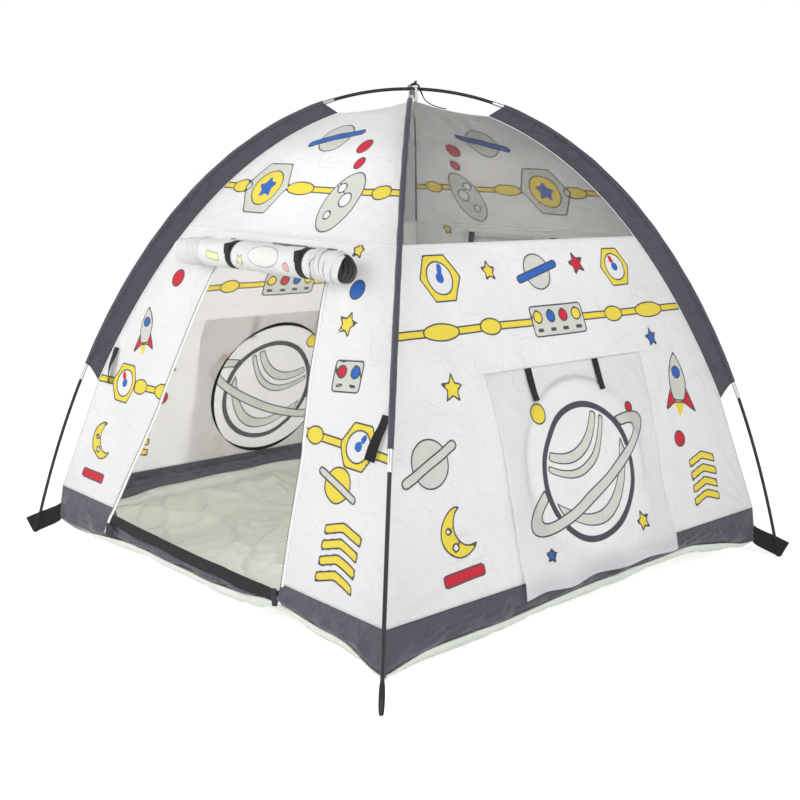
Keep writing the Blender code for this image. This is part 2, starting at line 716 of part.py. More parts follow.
def sleeve(name, out):
    half = CLOTH / 2
    flat = math.cos(math.pi / TUBE_SIDES)
    bore = FERRULE_RADIUS / flat + CLEARANCE
    radius = bore / flat + SLEEVE_WALL
    root = math.asin(half / radius)
    turns = np.linspace(root, 2 * math.pi - root, TUBE_SIDES + 1)
    inner_turns = [*turns, 2 * math.pi - root / 2, 2 * math.pi + root / 2]
    slants = {SLEEVE_START: SLEEVE_SEAM_START - SLEEVE_START, SLEEVE_END: SLEEVE_SEAM_END - SLEEVE_END}
    outside, inside = [], []
    for s in stations(SLEEVE_START, SLEEVE_END):
        slant = slants.get(s, 0.0)
        width = sleeve_width(s + slant) - 2 * CLEARANCE
        outer = [(radius * math.cos(a), radius * math.sin(a), 0.0) for a in turns]
        outer += [(width, -half, slant), (width, half, slant)]
        inner = [(bore * math.cos(a), bore * math.sin(a), 0.0) for a in inner_turns]
        outside.append(around_pole(out, s, outer))
        inside.append(around_pole(out, s, inner))
    return ring_solid(name, outside + inside[::-1], GREY_CLOTH, cyclic=True)


for corner, out in CORNERS.items():
    sleeve(f"{corner}_sleeve", out)


# Anchors. In the strap's own plane u runs down its length from its top corner and w runs up its width

ANCHOR_ALONG = np.array((math.cos(ANCHOR_SLOPE), -math.sin(ANCHOR_SLOPE)))
ANCHOR_ACROSS = np.array((math.sin(ANCHOR_SLOPE), math.cos(ANCHOR_SLOPE)))
ANCHOR_START = np.array((
    float(np.interp(-ANCHOR_TOP, -SEAM[:, 1], SEAM[:, 0])) + CLEARANCE + CORNER_GAP, ANCHOR_TOP,
))


def anchor_outline():
    """(out, up) of the strap's corners. Its lowest corner is pressed flat on the ground."""
    seam_slope = (FLOOR_SIDE - SKIRT_TOP_SIDE) / DIAGONAL / (SKIRT_TOP - FLOOR_CORNER_HEIGHT)
    start = ANCHOR_WIDTH * math.tan(ANCHOR_SLOPE + math.atan(seam_slope))
    below = -ANCHOR_ACROSS * ANCHOR_WIDTH
    end = ANCHOR_START + ANCHOR_ALONG * ANCHOR_LENGTH
    foot = ANCHOR_START + below
    return [
        ANCHOR_START, end, end + below * end[1] / -below[1],
        foot + ANCHOR_ALONG * foot[1] / -ANCHOR_ALONG[1], foot + ANCHOR_ALONG * start,
    ]


def along_to(normal, level, n):
    """From the pole's foot, how far along it a line n in from its centre meets a slanted end."""
    middle, along, inward = pole_point(HALF_POLE), pole_along(HALF_POLE), in_from_pole(HALF_POLE)
    return float((level - middle @ normal - inward @ normal * n) / (along @ normal))


def anchor(name, out):
    """The strap, with a pocket that widens it round the pole's foot."""
    side = out.cross(UP) * ANCHOR_THICK / 2
    rings = [
        [out * float(place[0]) + UP * float(place[1]) + side * way for place in anchor_outline()]
        for way in (-1, 1)
    ]
    strap = ring_solid(name, rings, BLACK_WEBBING)
    flat = math.cos(math.pi / TUBE_SIDES)
    bore = POLE_RADIUS / flat + CLEARANCE
    around = circle(bore + POCKET_WALL)
    top = ANCHOR_START @ ANCHOR_ACROSS - POCKET_INSET
    upper = [(n, b, along_to(ANCHOR_ACROSS, top, n)) for n, b, _ in around]
    lower = [(n, b, along_to(np.array((0, 1)), POCKET_INSET, n)) for n, b, _ in around]
    pocket = [around_pole(out, HALF_POLE, ring) for ring in (upper, lower)]
    combine(strap, ring_solid(f"join_{name}_pocket", pocket, BLACK_WEBBING), "UNION")
    hole = [
        around_pole(out, HALF_POLE, [(n, b, t) for n, b, _ in circle(bore)]) for t in (-POCKET_REACH, OVERRUN)
    ]
    combine(strap, ring_solid(f"cut_{name}_pocket", hole, BLACK_WEBBING), "DIFFERENCE")
    return strap


for corner, out in CORNERS.items():
    anchor(f"{corner}_anchor", out)


# Groundsheet

def square(half, height):
    return [(-half, -half, height), (half, -half, height), (half, half, height), (-half, half, height)]


def groundsheet():
    """A shallow tray of one thickness."""
    rim, rim_height = (float(place) for place in wall_at(SKIRT_FOOT_RUN + HALF_GAP))
    flat = FLOOR_FLAT_SIDE / 2
    slope = math.atan2(rim_height, rim - flat)
    rings = [
        square(flat, 0.0),
        square(rim, rim_height),
        square(rim - FLOOR_THICK / math.sin(slope), rim_height),
        square(flat - FLOOR_THICK * math.tan(slope / 2), FLOOR_THICK),
    ]
    return ring_solid("groundsheet", rings, GROUNDSHEET)


groundsheet()


# Crown

def crown_ribbon():
    """A ribbon from the canopy, over both poles and down again."""
    half = RIBBON_SPAN / 2
    inner = half - RIBBON_THICK
    roof = POLE_TOP + POLE_RADIUS + CLEARANCE
    foot = float(np.interp(inner, WALL_D, WALL_Z)) + CLEARANCE
    outside = [(-half, foot), (-half, roof + RIBBON_THICK), (half, roof + RIBBON_THICK), (half, foot)]
    inside = [(inner, foot), (inner, roof), (-inner, roof), (-inner, foot)]
    rings = [[Vector((x, y, z)) for x, z in outside + inside] for y in (-RIBBON_WIDTH / 2, RIBBON_WIDTH / 2)]
    return ring_solid("crown_ribbon", rings, WHITE_RIBBON)


def crown_knot():
    mesh = bpy.data.meshes.new("crown_knot")
    edit = bmesh.new()
    bmesh.ops.create_icosphere(edit, subdivisions=2, radius=KNOT_RADIUS)
    edit.to_mesh(mesh)
    edit.free()
    mesh.shade_smooth()
    mesh.materials.append(BLACK_WEBBING)
    made = bpy.data.objects.new("crown_knot", mesh)
    made.location = (0, 0, POLE_TOP + POLE_RADIUS + RIBBON_THICK + 2 * CLEARANCE + KNOT_RADIUS)
    bpy.context.scene.collection.objects.link(made)
    return made


def crown_tie_tail():
    """The loose end of the knot's tie, which comes to rest on the corner seam."""
    data = bpy.data.curves.new("crown_tie_tail", "CURVE")
    data.dimensions = "3D"
    data.bevel_depth = TAIL_RADIUS
    data.bevel_resolution = 2
    data.use_fill_caps = True
    spline = data.splines.new("POLY")
    spline.points.add(len(TAIL_POINTS) - 1)
    for point, place in zip(spline.points, TAIL_POINTS):
        point.co = (*place, 1)
    data.materials.append(BLACK_WEBBING)
    made = bpy.data.objects.new("crown_tie_tail", data)
    bpy.context.scene.collection.objects.link(made)
    return made


crown_ribbon()
crown_knot()
crown_tie_tail()
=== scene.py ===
# %% [markdown]
# # Dressing a play tent
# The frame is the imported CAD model: stiff, plain solids in their true places. This lesson puts the real
# surfaces round them: printed cloth, net, webbing, tube and steel. Each new piece is a function of two
# numbers, worked out for a whole grid at once with numpy, and each finish is a small tree of shader nodes.

# %% Load the frame
import math

import bpy
import numpy as np
from mathutils import Matrix, Vector


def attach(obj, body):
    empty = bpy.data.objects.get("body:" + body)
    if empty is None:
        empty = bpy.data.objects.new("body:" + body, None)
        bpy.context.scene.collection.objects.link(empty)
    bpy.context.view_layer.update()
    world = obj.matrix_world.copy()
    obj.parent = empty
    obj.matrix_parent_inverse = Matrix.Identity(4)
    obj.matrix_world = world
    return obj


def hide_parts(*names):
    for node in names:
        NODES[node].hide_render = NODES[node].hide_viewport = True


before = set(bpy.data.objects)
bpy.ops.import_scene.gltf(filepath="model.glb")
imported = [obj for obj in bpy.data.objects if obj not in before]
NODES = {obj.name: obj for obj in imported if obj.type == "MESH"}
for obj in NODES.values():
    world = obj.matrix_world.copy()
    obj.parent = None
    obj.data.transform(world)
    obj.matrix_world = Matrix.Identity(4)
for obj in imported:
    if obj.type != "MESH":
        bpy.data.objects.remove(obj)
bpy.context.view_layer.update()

# %% [markdown]
# ## The camera
# The photograph was taken from in front of the corner between the doorway and the right-hand port, from
# a little above the tent's middle. The camera turns about a target on the tent's axis, leans by a small
# roll, and its shift centres the tent in the square picture as the photograph does.

# %% Camera
PICTURE = 800
FOCAL_PIXELS = 1179.1
SENSOR = 0.036
AZIMUTH, ELEVATION, ROLL = math.radians(46.922), math.radians(7.916), math.radians(1.297)
DISTANCE = 2.853
TARGET = Vector((0, 0, 0.537))
SHIFT_PIXELS = (-8.07, -70.37)

back = Vector((
    math.sin(AZIMUTH) * math.cos(ELEVATION), -math.cos(AZIMUTH) * math.cos(ELEVATION), math.sin(ELEVATION),
))
level_right = Vector((0, 0, 1)).cross(back).normalized()
level_up = back.cross(level_right)
right = level_right * math.cos(ROLL) + level_up * math.sin(ROLL)
up = level_up * math.cos(ROLL) - level_right * math.sin(ROLL)

camera_data = bpy.data.cameras.new("camera")
camera_data.sensor_width = SENSOR * 1000
camera_data.lens = FOCAL_PIXELS * SENSOR * 1000 / PICTURE
camera_data.shift_x = SHIFT_PIXELS[0] / PICTURE
camera_data.shift_y = SHIFT_PIXELS[1] / PICTURE
camera = bpy.data.objects.new("camera", camera_data)
camera.rotation_euler = Matrix((right, up, back)).transposed().to_euler()
camera.location = TARGET + back * DISTANCE
bpy.context.scene.collection.objects.link(camera)
bpy.context.scene.camera = camera
bpy.context.scene.view_settings.view_transform = "Standard"
print(f"lens {camera_data.lens:.1f} mm, {DISTANCE:.2f} m from the tent's axis")

# %% [markdown]
# ## Helpers for materials
# A small set of helpers keeps each material short: one turns a screen colour into the linear numbers
# that a shader needs, one makes a material with its Principled BSDF, and the others each add a node or
# wire one. Nodes that several materials share go into a group, which is made like a material.

# %% Node helpers


def tone(code):
    """The linear colour of a screen colour such as #ECECEC, by the sRGB curve."""
    screen = np.array([int(code[i:i + 2], 16) for i in (1, 3, 5)]) / 255
    linear = np.where(screen <= 0.04045, screen / 12.92, ((screen + 0.055) / 1.055) ** 2.4)
    return (*linear.tolist(), 1.0)


def node(tree, kind, inputs=None, **settings):
    """A node of that kind, whose inputs are values or other nodes' outputs."""
    made = tree.nodes.new(kind)
    for name, value in settings.items():
        setattr(made, name, value)
    for name, value in (inputs or {}).items():
        if isinstance(value, bpy.types.NodeSocket):
            tree.links.new(value, made.inputs[name])
        else:
            made.inputs[name].default_value = value
    return made


def math_node(tree, operation, a, b=0.0, c=0.0):
    return node(tree, "ShaderNodeMath", {0: a, 1: b, 2: c}, operation=operation).outputs[0]


def mixed(tree, factor, a, b):
    """Colour a where the factor is 0, and colour b where it is 1."""
    return node(tree, "ShaderNodeMix", {0: factor, 6: a, 7: b}, data_type="RGBA").outputs[2]


def ramp(tree, value, low, high, to_low=0.0, to_high=1.0):
    """The value, carried from the range low to high onto another range."""
    names = ("Value", "From Min", "From Max", "To Min", "To Max")
    values = (value, low, high, to_low, to_high)
    return node(tree, "ShaderNodeMapRange", dict(zip(names, values))).outputs[0]


def new_group(name, output, **inputs):
    """A shader group with one output and these inputs, each a number or a colour."""
    tree = bpy.data.node_groups.new(name, "ShaderNodeTree")
    for label, value in inputs.items():
        kind = "NodeSocketFloat" if isinstance(value, float) else "NodeSocketColor"
        tree.interface.new_socket(label, in_out="INPUT", socket_type=kind).default_value = value
    kind = "NodeSocketColor" if output == "Color" else "NodeSocketFloat"
    tree.interface.new_socket(output, in_out="OUTPUT", socket_type=kind)
    return tree, tree.nodes.new("NodeGroupInput").outputs, tree.nodes.new("NodeGroupOutput").inputs[0]


def new_material(name, colour, roughness, **sockets):
    """A material with a Principled BSDF. Returns it with its tree and its Principled node."""
    material = bpy.data.materials.new(name)
    material.use_nodes = True
    tree = material.node_tree
    surface = tree.nodes["Principled BSDF"]
    surface.inputs["Base Color"].default_value = colour
    surface.inputs["Roughness"].default_value = roughness
    for label, value in sockets.items():
        surface.inputs[label.replace("_", " ")].default_value = value
    return material, tree, surface


def grouped(tree, group, **inputs):
    """The one output of a shader group, whose inputs are given by name."""
    return node(tree, "ShaderNodeGroup", inputs, node_tree=group).outputs[0]


def noise(tree, place, scale, detail=2.0):
    made = node(tree, "ShaderNodeTexNoise", {"Vector": place, "Scale": scale, "Detail": detail})
    return made.outputs[0]


def object_place(tree):
    """The place on the object, in metres, whatever its UV map says."""
    return node(tree, "ShaderNodeTexCoord").outputs["Object"]


def cloth_place(tree):
    """The place on the UV map, which holds metres along and across the piece."""
    return node(tree, "ShaderNodeUVMap", uv_map="cloth").outputs[0]


def split(tree, vector):
    return node(tree, "ShaderNodeSeparateXYZ", {0: vector}).outputs


def plug(tree, output, surface, label="Base Color"):
    """Wires an output to one of the surface's sockets."""
    tree.links.new(output, surface.inputs[label])


def bumped(tree, surface, height, distance):
    """Tilts the surface's normal as if the height, from 0 to 1, rose by the distance."""
    bump = node(tree, "ShaderNodeBump", {"Height": height, "Distance": distance, "Strength": 1.0})
    plug(tree, bump.outputs[0], surface, "Normal")


def join_shaders(tree, kind, first, second, **inputs):
    """Wires the sum or the mix of two shaders to the tree's output."""
    both = node(tree, kind, inputs)
    for shader, socket in ((first, both.inputs[-2]), (second, both.inputs[-1])):
        tree.links.new(shader.outputs[0], socket)
    end = next(made for made in tree.nodes if made.type.startswith("OUTPUT"))
    tree.links.new(both.outputs[0], end.inputs["Surface"])


print("node helpers ready")

# %% [markdown]
# ## Shared effects
# Three effects turn up on more than one material. The weave follows the cloth through its UV map, which
# holds metres along and across the cloth, so the threads keep their size on every panel. Creases are the
# faint dents of cloth that has been folded in a bag. Wear makes a surface a little uneven in tone.

# %% Weave, creases and wear as node groups


def make_weave():
    """Height of a plain weave: warp and weft sines, of which the higher one shows at each place."""
    tree, given, out = new_group("weave", "Height", Threads=1500.0)
    axes = split(tree, cloth_place(tree))
    waves = []
    for axis, other in ((0, 1), (1, 0)):
        across = math_node(tree, "SINE", math_node(tree, "MULTIPLY", axes[axis], given[0]))
        along = math_node(tree, "MULTIPLY", axes[other], given[0])
        along = math_node(tree, "SINE", math_node(tree, "MULTIPLY", along, 0.5))
        waves.append(math_node(tree, "MULTIPLY", math_node(tree, "ABSOLUTE", across), along))
    higher = math_node(tree, "MAXIMUM", waves[0], waves[1])
    tree.links.new(ramp(tree, higher, -1.0, 1.0), out)
    return tree


def make_creases():
    """Height of creases: the edges of bent cells, over slow dents."""
    tree, given, out = new_group("creases", "Height", Size=6.0, Crispness=0.5)
    place = object_place(tree)
    slow = noise(tree, place, given[0], 3.0)
    bent = node(tree, "ShaderNodeVectorMath", {0: place, 1: slow}, operation="ADD").outputs[0]
    cells = node(
        tree, "ShaderNodeTexVoronoi", {"Vector": bent, "Scale": given[0]}, feature="DISTANCE_TO_EDGE",
    ).outputs[0]
    ridge = ramp(tree, cells, 0.0, 0.25)
    total = math_node(tree, "MULTIPLY_ADD", ridge, given[1], slow)
    tree.links.new(ramp(tree, total, 0.0, 2.0), out)
    return tree


def make_wear():
    """A colour made unevenly lighter and darker by slow and by fine noise."""
    tree, given, out = new_group("wear", "Color", Color=(1, 1, 1, 1), Size=9.0, Amount=0.1)
    place = object_place(tree)
    slow = noise(tree, place, given[1])
    fine = noise(tree, place, math_node(tree, "MULTIPLY", given[1], 30.0))
    both = math_node(tree, "MULTIPLY_ADD", fine, 0.4, math_node(tree, "MULTIPLY", slow, 0.6))
    mask = ramp(tree, both, 0.3, 0.7)
    swing = math_node(tree, "MULTIPLY", math_node(tree, "SUBTRACT", mask, 0.5), given[2])
    value = math_node(tree, "ADD", swing, 1.0)
    shaded = node(tree, "ShaderNodeVectorMath", {0: given[0], 3: value}, operation="SCALE").outputs[0]
    tree.links.new(shaded, out)
    return tree


WEAVE, CREASES, WEAR = make_weave(), make_creases(), make_wear()
print("shared effects:", [group.name for group in (WEAVE, CREASES, WEAR)])

# %% [markdown]
# ## Printed cloth
# The pictures are printed on the cloth. No image is used: each colour of the print is a number on every
# point of the mesh, the distance to that colour's edge, negative inside. The shader paints wherever the
# number is below zero, so an edge stays crisp however coarse the grid is. Outlines are where a distance
# is close to zero. Two levels of outline let a badge hide the lines of what it is printed over.

# %% The print's shader group
LINE_HALF = 0.0016
EDGE_SOFT = 0.0004
PRINT_COLOURS = {
    "pale": tone("#DEE0DA"), "yellow": tone("#F5E45A"), "red": tone("#DB3346"),
    "blue": tone("#3A78CF"), "dark": tone("#5A5965"),
}
LINE_COLOUR = tone("#5A5A66")
CLOTH_COLOUR = tone("#F3F2F5")


def make_print():
    """The cloth's colour with its print: fills in turn, then the two levels of outline."""
    tree, given, out = new_group("space print", "Color", Cloth=CLOTH_COLOUR, Strength=1.0)
    fields = {}
    for attribute, names in (
        ("print_a", ("pale", "yellow", "red")), ("print_b", ("blue", "dark", "cover")),
        ("print_c", ("low", "high", "spare")),
    ):
        source = node(tree, "ShaderNodeAttribute", attribute_name=attribute).outputs["Vector"]
        fields.update(zip(names, split(tree, source)))
    colour = given[0]
    for name, paint in PRINT_COLOURS.items():
        inside = ramp(tree, fields[name], EDGE_SOFT, -EDGE_SOFT)
        colour = mixed(tree, math_node(tree, "MULTIPLY", inside, given[1]), colour, paint)
    near = [math_node(tree, "ABSOLUTE", fields[name]) for name in ("low", "high")]
    lines = [ramp(tree, way, LINE_HALF + EDGE_SOFT, LINE_HALF - EDGE_SOFT) for way in near]
    bare = ramp(tree, fields["cover"], -EDGE_SOFT, EDGE_SOFT)
    line = math_node(tree, "MAXIMUM", math_node(tree, "MULTIPLY", lines[0], bare), lines[1])
    colour = mixed(tree, math_node(tree, "MULTIPLY", line, given[1]), colour, LINE_COLOUR)
    tree.links.new(colour, out)
    return tree


PRINT = make_print()


def make_cloth(name, strength, colour, translucent):
    """Thin white polyester with the print at this strength: part of the light passes through it."""
    material, tree, surface = new_material(name, colour, 0.82, Sheen_Weight=0.15, Sheen_Roughness=0.5)
    printed = grouped(tree, PRINT, Cloth=colour, Strength=strength)
    worn = grouped(tree, WEAR, Color=printed, Size=5.0, Amount=0.05)
    plug(tree, worn, surface)
    creases = grouped(tree, CREASES, Size=7.0, Crispness=0.25)
    weave = grouped(tree, WEAVE, Threads=9000.0)
    bumped(tree, surface, math_node(tree, "MULTIPLY_ADD", weave, 0.0016, creases), 0.011)
    through = node(tree, "ShaderNodeBsdfTranslucent", {"Color": worn})
    join_shaders(tree, "ShaderNodeMixShader", surface, through, Fac=translucent)
    return material


PRINTED_CLOTH = make_cloth("printed_cloth", 1.0, CLOTH_COLOUR, 0.50)
CLOTH_BACK = make_cloth("cloth_back", 0.55, tone("#F0EFEC"), 0.78)
print("cloth:", PRINTED_CLOTH.name, "and its inner side,", CLOTH_BACK.name)

# %% [markdown]
# ## The other finishes
# Dark polyester for the sleeves and the band, coated sheet for the ground, woven webbing, ribbon, net,
# glass-fibre tube, steel, moulded plastic and hook-and-loop tape. Each has the pattern that it shows
# close to: threads, ribs, drawn lines or a mould's grain.

# %% Dark cloth, groundsheet and bindings


def make_plain_cloth(name, colour, roughness, threads, bump, crease, sheen=0.1, wear=0.12):
    """Cloth of one colour: threads to the radian, the bump's height in metres and the creases' fineness."""
    colour = tone(colour)
    sockets = {"Sheen_Weight": sheen, "Specular_IOR_Level": 0.25}
    material, tree, surface = new_material(name, colour, roughness, **sockets)
    plug(tree, grouped(tree, WEAR, Color=colour, Size=8.0, Amount=wear), surface)
    weave = grouped(tree, WEAVE, Threads=threads)
    creases = grouped(tree, CREASES, Size=crease, Crispness=0.4)
    bumped(tree, surface, math_node(tree, "MULTIPLY_ADD", weave, 0.15 / (threads * bump), creases), bump)
    return material


DARK_CLOTH = make_plain_cloth("dark_cloth", "#4A4953", 0.55, 7000.0, 0.0060, 10.0)
DARK_LINING = make_plain_cloth("dark_lining", "#5E5D67", 0.7, 7000.0, 0.002, 16.0)
WEBBING = make_plain_cloth("webbing", "#1F1E21", 0.8, 2600.0, 0.0006, 40.0, 0.06)
BLACK_BINDING = make_plain_cloth("black_binding", "#1E1D20", 0.8, 4000.0, 0.0008, 30.0, 0.03)
WHITE_BINDING = make_plain_cloth("white_binding", "#DEDEDC", 0.75, 4000.0, 0.0006, 30.0, 0.15, 0.05)
RIBBON = make_plain_cloth("ribbon", "#E9E9E7", 0.7, 5000.0, 0.0005, 30.0, 0.2, 0.05)
THREAD = make_plain_cloth("thread", "#3B3A40", 0.7, 9000.0, 0.0002, 60.0)
TRAY_SHEET = make_plain_cloth("tray_sheet", "#D2D6CC", 0.36, 5000.0, 0.014, 4.5, 0.0, 0.06)
print("plain cloths ready")

# %% [markdown]
# The net is dark thread with holes between, far finer than a pixel from where the camera stands, so the
# light that gets through is what shows. Its alpha is a square mesh of threads on the cloth's UV map.
# Where the mesh is too fine to see, the average of threads and holes is what the eye gets.

# %% Net, tube, steel, plastic and hook-and-loop tape
NET_THREAD = 0.0011
NET_COLOUR = tone("#4A494A")


def make_net():
    """Square mesh: opaque within a share of each thread spacing, clear in the hole."""
    material, tree, surface = new_material("window_net", NET_COLOUR, 0.85)
    axes = split(tree, cloth_place(tree))
    threads = []
    for axis in (0, 1):
        turn = math_node(tree, "MULTIPLY", axes[axis], 2 * math.pi / NET_THREAD)
        threads.append(ramp(tree, math_node(tree, "COSINE", turn), 0.35, 0.75))
    solid = math_node(tree, "MAXIMUM", threads[0], threads[1])
    plug(tree, grouped(tree, WEAR, Color=NET_COLOUR, Size=4.0, Amount=0.25), surface)
    plug(tree, ramp(tree, solid, 0.0, 1.0, 0.09, 0.52), surface, "Alpha")
    return material


def make_drawn(name, colour, roughness, metallic, stretch, wear, **sockets):
    """Tube or wire: noise drawn out along the piece's length, which its UV map's second axis follows."""
    colour = tone(colour)
    material, tree, surface = new_material(name, colour, roughness, Metallic=metallic, **sockets)
    scale = (stretch, 12.0, 1.0)
    drawn = node(tree, "ShaderNodeMapping", {"Vector": cloth_place(tree), "Scale": scale}).outputs[0]
    grain = noise(tree, drawn, 1.0, 4.0)
    plug(tree, grouped(tree, WEAR, Color=colour, Size=20.0, Amount=wear), surface)
    plug(tree, ramp(tree, grain, 0.3, 0.7, roughness * 0.8, roughness * 1.25), surface, "Roughness")
    bumped(tree, surface, grain, 0.0002)
    return material


NET = make_net()
TUBE_SHINE = {"Specular_IOR_Level": 0.3, "Coat_Weight": 0.1, "Coat_Roughness": 0.2}
TUBE = make_drawn("pole_tube", "#232326", 0.4, 0.0, 900.0, 0.2, **TUBE_SHINE)
STEEL = make_drawn("ferrule_steel", "#C9CBCE", 0.24, 1.0, 1500.0, 0.08)
PLASTIC = make_drawn("moulded_plastic", "#222224", 0.5, 0.0, 300.0, 0.15)
ELASTIC = make_plain_cloth("elastic_braid", "#DADAD6", 0.8, 3000.0, 0.0004, 30.0)


def make_fuzz():
    """Loop tape: a felt of short fibres, as fine noise in tone and height."""
    sockets = {"Sheen_Weight": 0.1, "Specular_IOR_Level": 0.2}
    material, tree, surface = new_material("loop_tape", tone("#242427"), 0.95, **sockets)
    fibre = noise(tree, object_place(tree), 900.0, 3.0)
    plug(tree, mixed(tree, ramp(tree, fibre, 0.3, 0.7), tone("#1E1E21"), tone("#3A3A3F")), surface)
    bumped(tree, surface, fibre, 0.0008)
    return material


LOOP_TAPE = make_fuzz()
print("materials:", len(bpy.data.materials))

# %% [markdown]
# ## Floor, world and lamps
# The photograph was cut out on white and lit from all round, brightest from the left and the front. The
# floor and the world are white to the camera, and lend the tent a softer light than they show. The world
# is weaker overhead, so that a raised flap's pale top doesn't clip. The floor still takes the tent's
# shadow, which shows the eye where it stands.

# %% Floor, world and lamps
FLOOR_DEPTH, FLOOR_REACH = 0.0008, 30.0
LAMP_TARGET = Vector((0, 0, 0.4))
WORLD_LEVEL, WORLD_OVERHEAD = 0.80, 0.35


def seen_by(tree, *kinds):
    """1 for the kinds of ray that see a surface directly or through glass, and 0 for the rest."""
    rays = node(tree, "ShaderNodeLightPath").outputs
    seen = rays["Is Camera Ray"]
    for kind in kinds:
        seen = math_node(tree, "MAXIMUM", seen, rays[kind])
    return seen


def make_floor_finish():
    """White paint that also glows, most of all for camera, mirror and glass rays."""
    material, tree, surface = new_material("studio_floor", tone("#F6F6F6"), 1.0, Specular_IOR_Level=0.0)
    seen = seen_by(tree, "Is Glossy Ray", "Is Transmission Ray")
    glow = node(tree, "ShaderNodeEmission", {"Strength": math_node(tree, "MULTIPLY_ADD", seen, 0.30, 0.22)})
    join_shaders(tree, "ShaderNodeAddShader", surface, glow)
    return material


def make_world():
    """White to the camera, and a soft light to everything else that is weaker from straight above."""
    world = bpy.data.worlds.new("studio")
    world.use_nodes = True
    tree = world.node_tree
    light = tree.nodes["Background"]
    light.inputs["Color"].default_value = (0.96, 0.98, 1.0, 1.0)
    rise = split(tree, node(tree, "ShaderNodeTexCoord").outputs["Generated"])["Z"]
    overhead = math_node(tree, "MULTIPLY", rise, rise)
    strength = math_node(tree, "MULTIPLY_ADD", overhead, WORLD_OVERHEAD - WORLD_LEVEL, WORLD_LEVEL)
    plug(tree, strength, light, "Strength")
    white = node(tree, "ShaderNodeBackground", {"Color": (1, 1, 1, 1), "Strength": 1.0})
    join_shaders(tree, "ShaderNodeMixShader", light, white, Fac=seen_by(tree, "Is Transmission Ray"))
    bpy.context.scene.world = world


def lamp(name, place, size, power, colour=(1, 1, 1), seen=True):
    """A square soft lamp aimed at the middle of the tent, which the camera may see or not."""
    data = bpy.data.lights.new(name, "AREA")
    data.size, data.energy, data.color = size, power, colour
    made = bpy.data.objects.new(name, data)
    made.location = place
    made.rotation_euler = (LAMP_TARGET - Vector(place)).to_track_quat("-Z", "Y").to_euler()
    made.visible_camera = seen
    bpy.context.scene.collection.objects.link(made)


floor_mesh = bpy.data.meshes.new("studio_floor")
floor_mesh.from_pydata(
    [(x * FLOOR_REACH, y * FLOOR_REACH, -FLOOR_DEPTH) for x, y in ((-1, -1), (1, -1), (1, 1), (-1, 1))],
    [], [(0, 1, 2, 3)],
)
floor_mesh.materials.append(make_floor_finish())
floor = bpy.data.objects.new("studio_floor", floor_mesh)
bpy.context.scene.collection.objects.link(floor)
make_world()
lamp("key_lamp", (-2.2, -3.4, 2.2), 2.4, 95.0, (1.0, 0.99, 0.97))
lamp("fill_lamp", (3.4, -1.6, 2.2), 2.6, 62.0)
lamp("inner_lamp", (0, 0, 0.98), 0.28, 3.0, (1.0, 0.99, 0.96), seen=False)
print("floor, world and three lamps")

# %% [markdown]
# ## The poles' curve and the corner seam
# Two poles are strung and bent over the tent from corner to corner. The bent line is a cubic curve with
# level and leaning handles, and a straight last stretch. The corner seam follows each pole at the width
# of its sleeve. These formulas repeat the CAD's, because every cloth edge starts from them.

# %% Curves of the frame
POLE_TOP, POLE_FOOT = 1.109, 0.922
CROWN_REACH, FOOT_REACH, FOOT_STRAIGHT = 0.404, 0.706, 0.038
FOOT_LEAN = math.radians(13.5)
POLE_RADIUS = 0.00395
CROSSING_DIP = 0.18
LOWER_DROP = 2 * POLE_RADIUS + 0.0003
SLEEVE_START, SLEEVE_END = 0.217, 1.100
SEAM_START, SEAM_END = 0.190, 1.128
WIDTH_START, WIDTH_MIDDLE, WIDTH_END = 0.033, 0.046, 0.041
POLE_STEP = 0.004


def above_foot(length):
    return np.array((POLE_FOOT - length * math.sin(FOOT_LEAN), length * math.cos(FOOT_LEAN)))


def run_along(path):
    """Length of a path from its start to each of its points."""
    return np.concatenate(([0], np.cumsum(np.linalg.norm(np.diff(path, axis=0), axis=1))))


t = np.linspace(0, 1, 3000)[:, None]
weights = ((1 - t) ** 3, 3 * (1 - t) ** 2 * t, 3 * (1 - t) * t**2, t**3)
handles = (
    (0, POLE_TOP), (CROWN_REACH, POLE_TOP),
    above_foot(FOOT_STRAIGHT + FOOT_REACH), above_foot(FOOT_STRAIGHT),
)
bend = sum(weight * np.array(handle) for weight, handle in zip(weights, handles))
CURVE = np.vstack((bend, above_foot(0)))
CURVE_RUN = run_along(CURVE)
HALF_POLE = float(CURVE_RUN[-1])


def pole_point(s, drop=0.0):
    """(out, up) on the pole's centre line, s metres from the crossing.

    The lower pole drops under the upper one as it nears the crossing.
    """
    s = np.asarray(s, float)
    near = np.clip(1 - np.abs(s) / CROSSING_DIP, 0, 1)
    out = np.sign(s) * np.interp(np.abs(s), CURVE_RUN, CURVE[:, 0])
    high = np.interp(np.abs(s), CURVE_RUN, CURVE[:, 1]) - drop * near**2 * (3 - 2 * near)
    return np.stack((out, high), axis=-1)


def in_from_pole(s):
    """The direction square to the pole, in towards the tent, from the points just before and after."""
    after, before = (pole_point(np.clip(s + step, -HALF_POLE, HALF_POLE)) for step in (POLE_STEP, -POLE_STEP))
    along = after - before
    along = along / np.linalg.norm(along, axis=-1, keepdims=True)
    return np.stack((along[..., 1], -along[..., 0]), axis=-1)


def sleeve_width(s):
    """From the pole to the corner seam: a straight taper plus a parabola that is full half way."""
    share = (s - SEAM_START) / (SEAM_END - SEAM_START)
    straight = WIDTH_START * (1 - share) + WIDTH_END * share
    return straight + (WIDTH_MIDDLE - (WIDTH_START + WIDTH_END) / 2) * 4 * share * (1 - share)


print(f"half a pole is {HALF_POLE:.3f} m along its bend")

# %% [markdown]
# A wall is cut so that its edges are the corner seams. Going down the slope from the crown, the seam
# gives the wall's distance from the tent's middle and its height. Every place on a wall is then named
# by two lengths, x along the wall and run down its slope, which is how the cloth lies flat on a table.

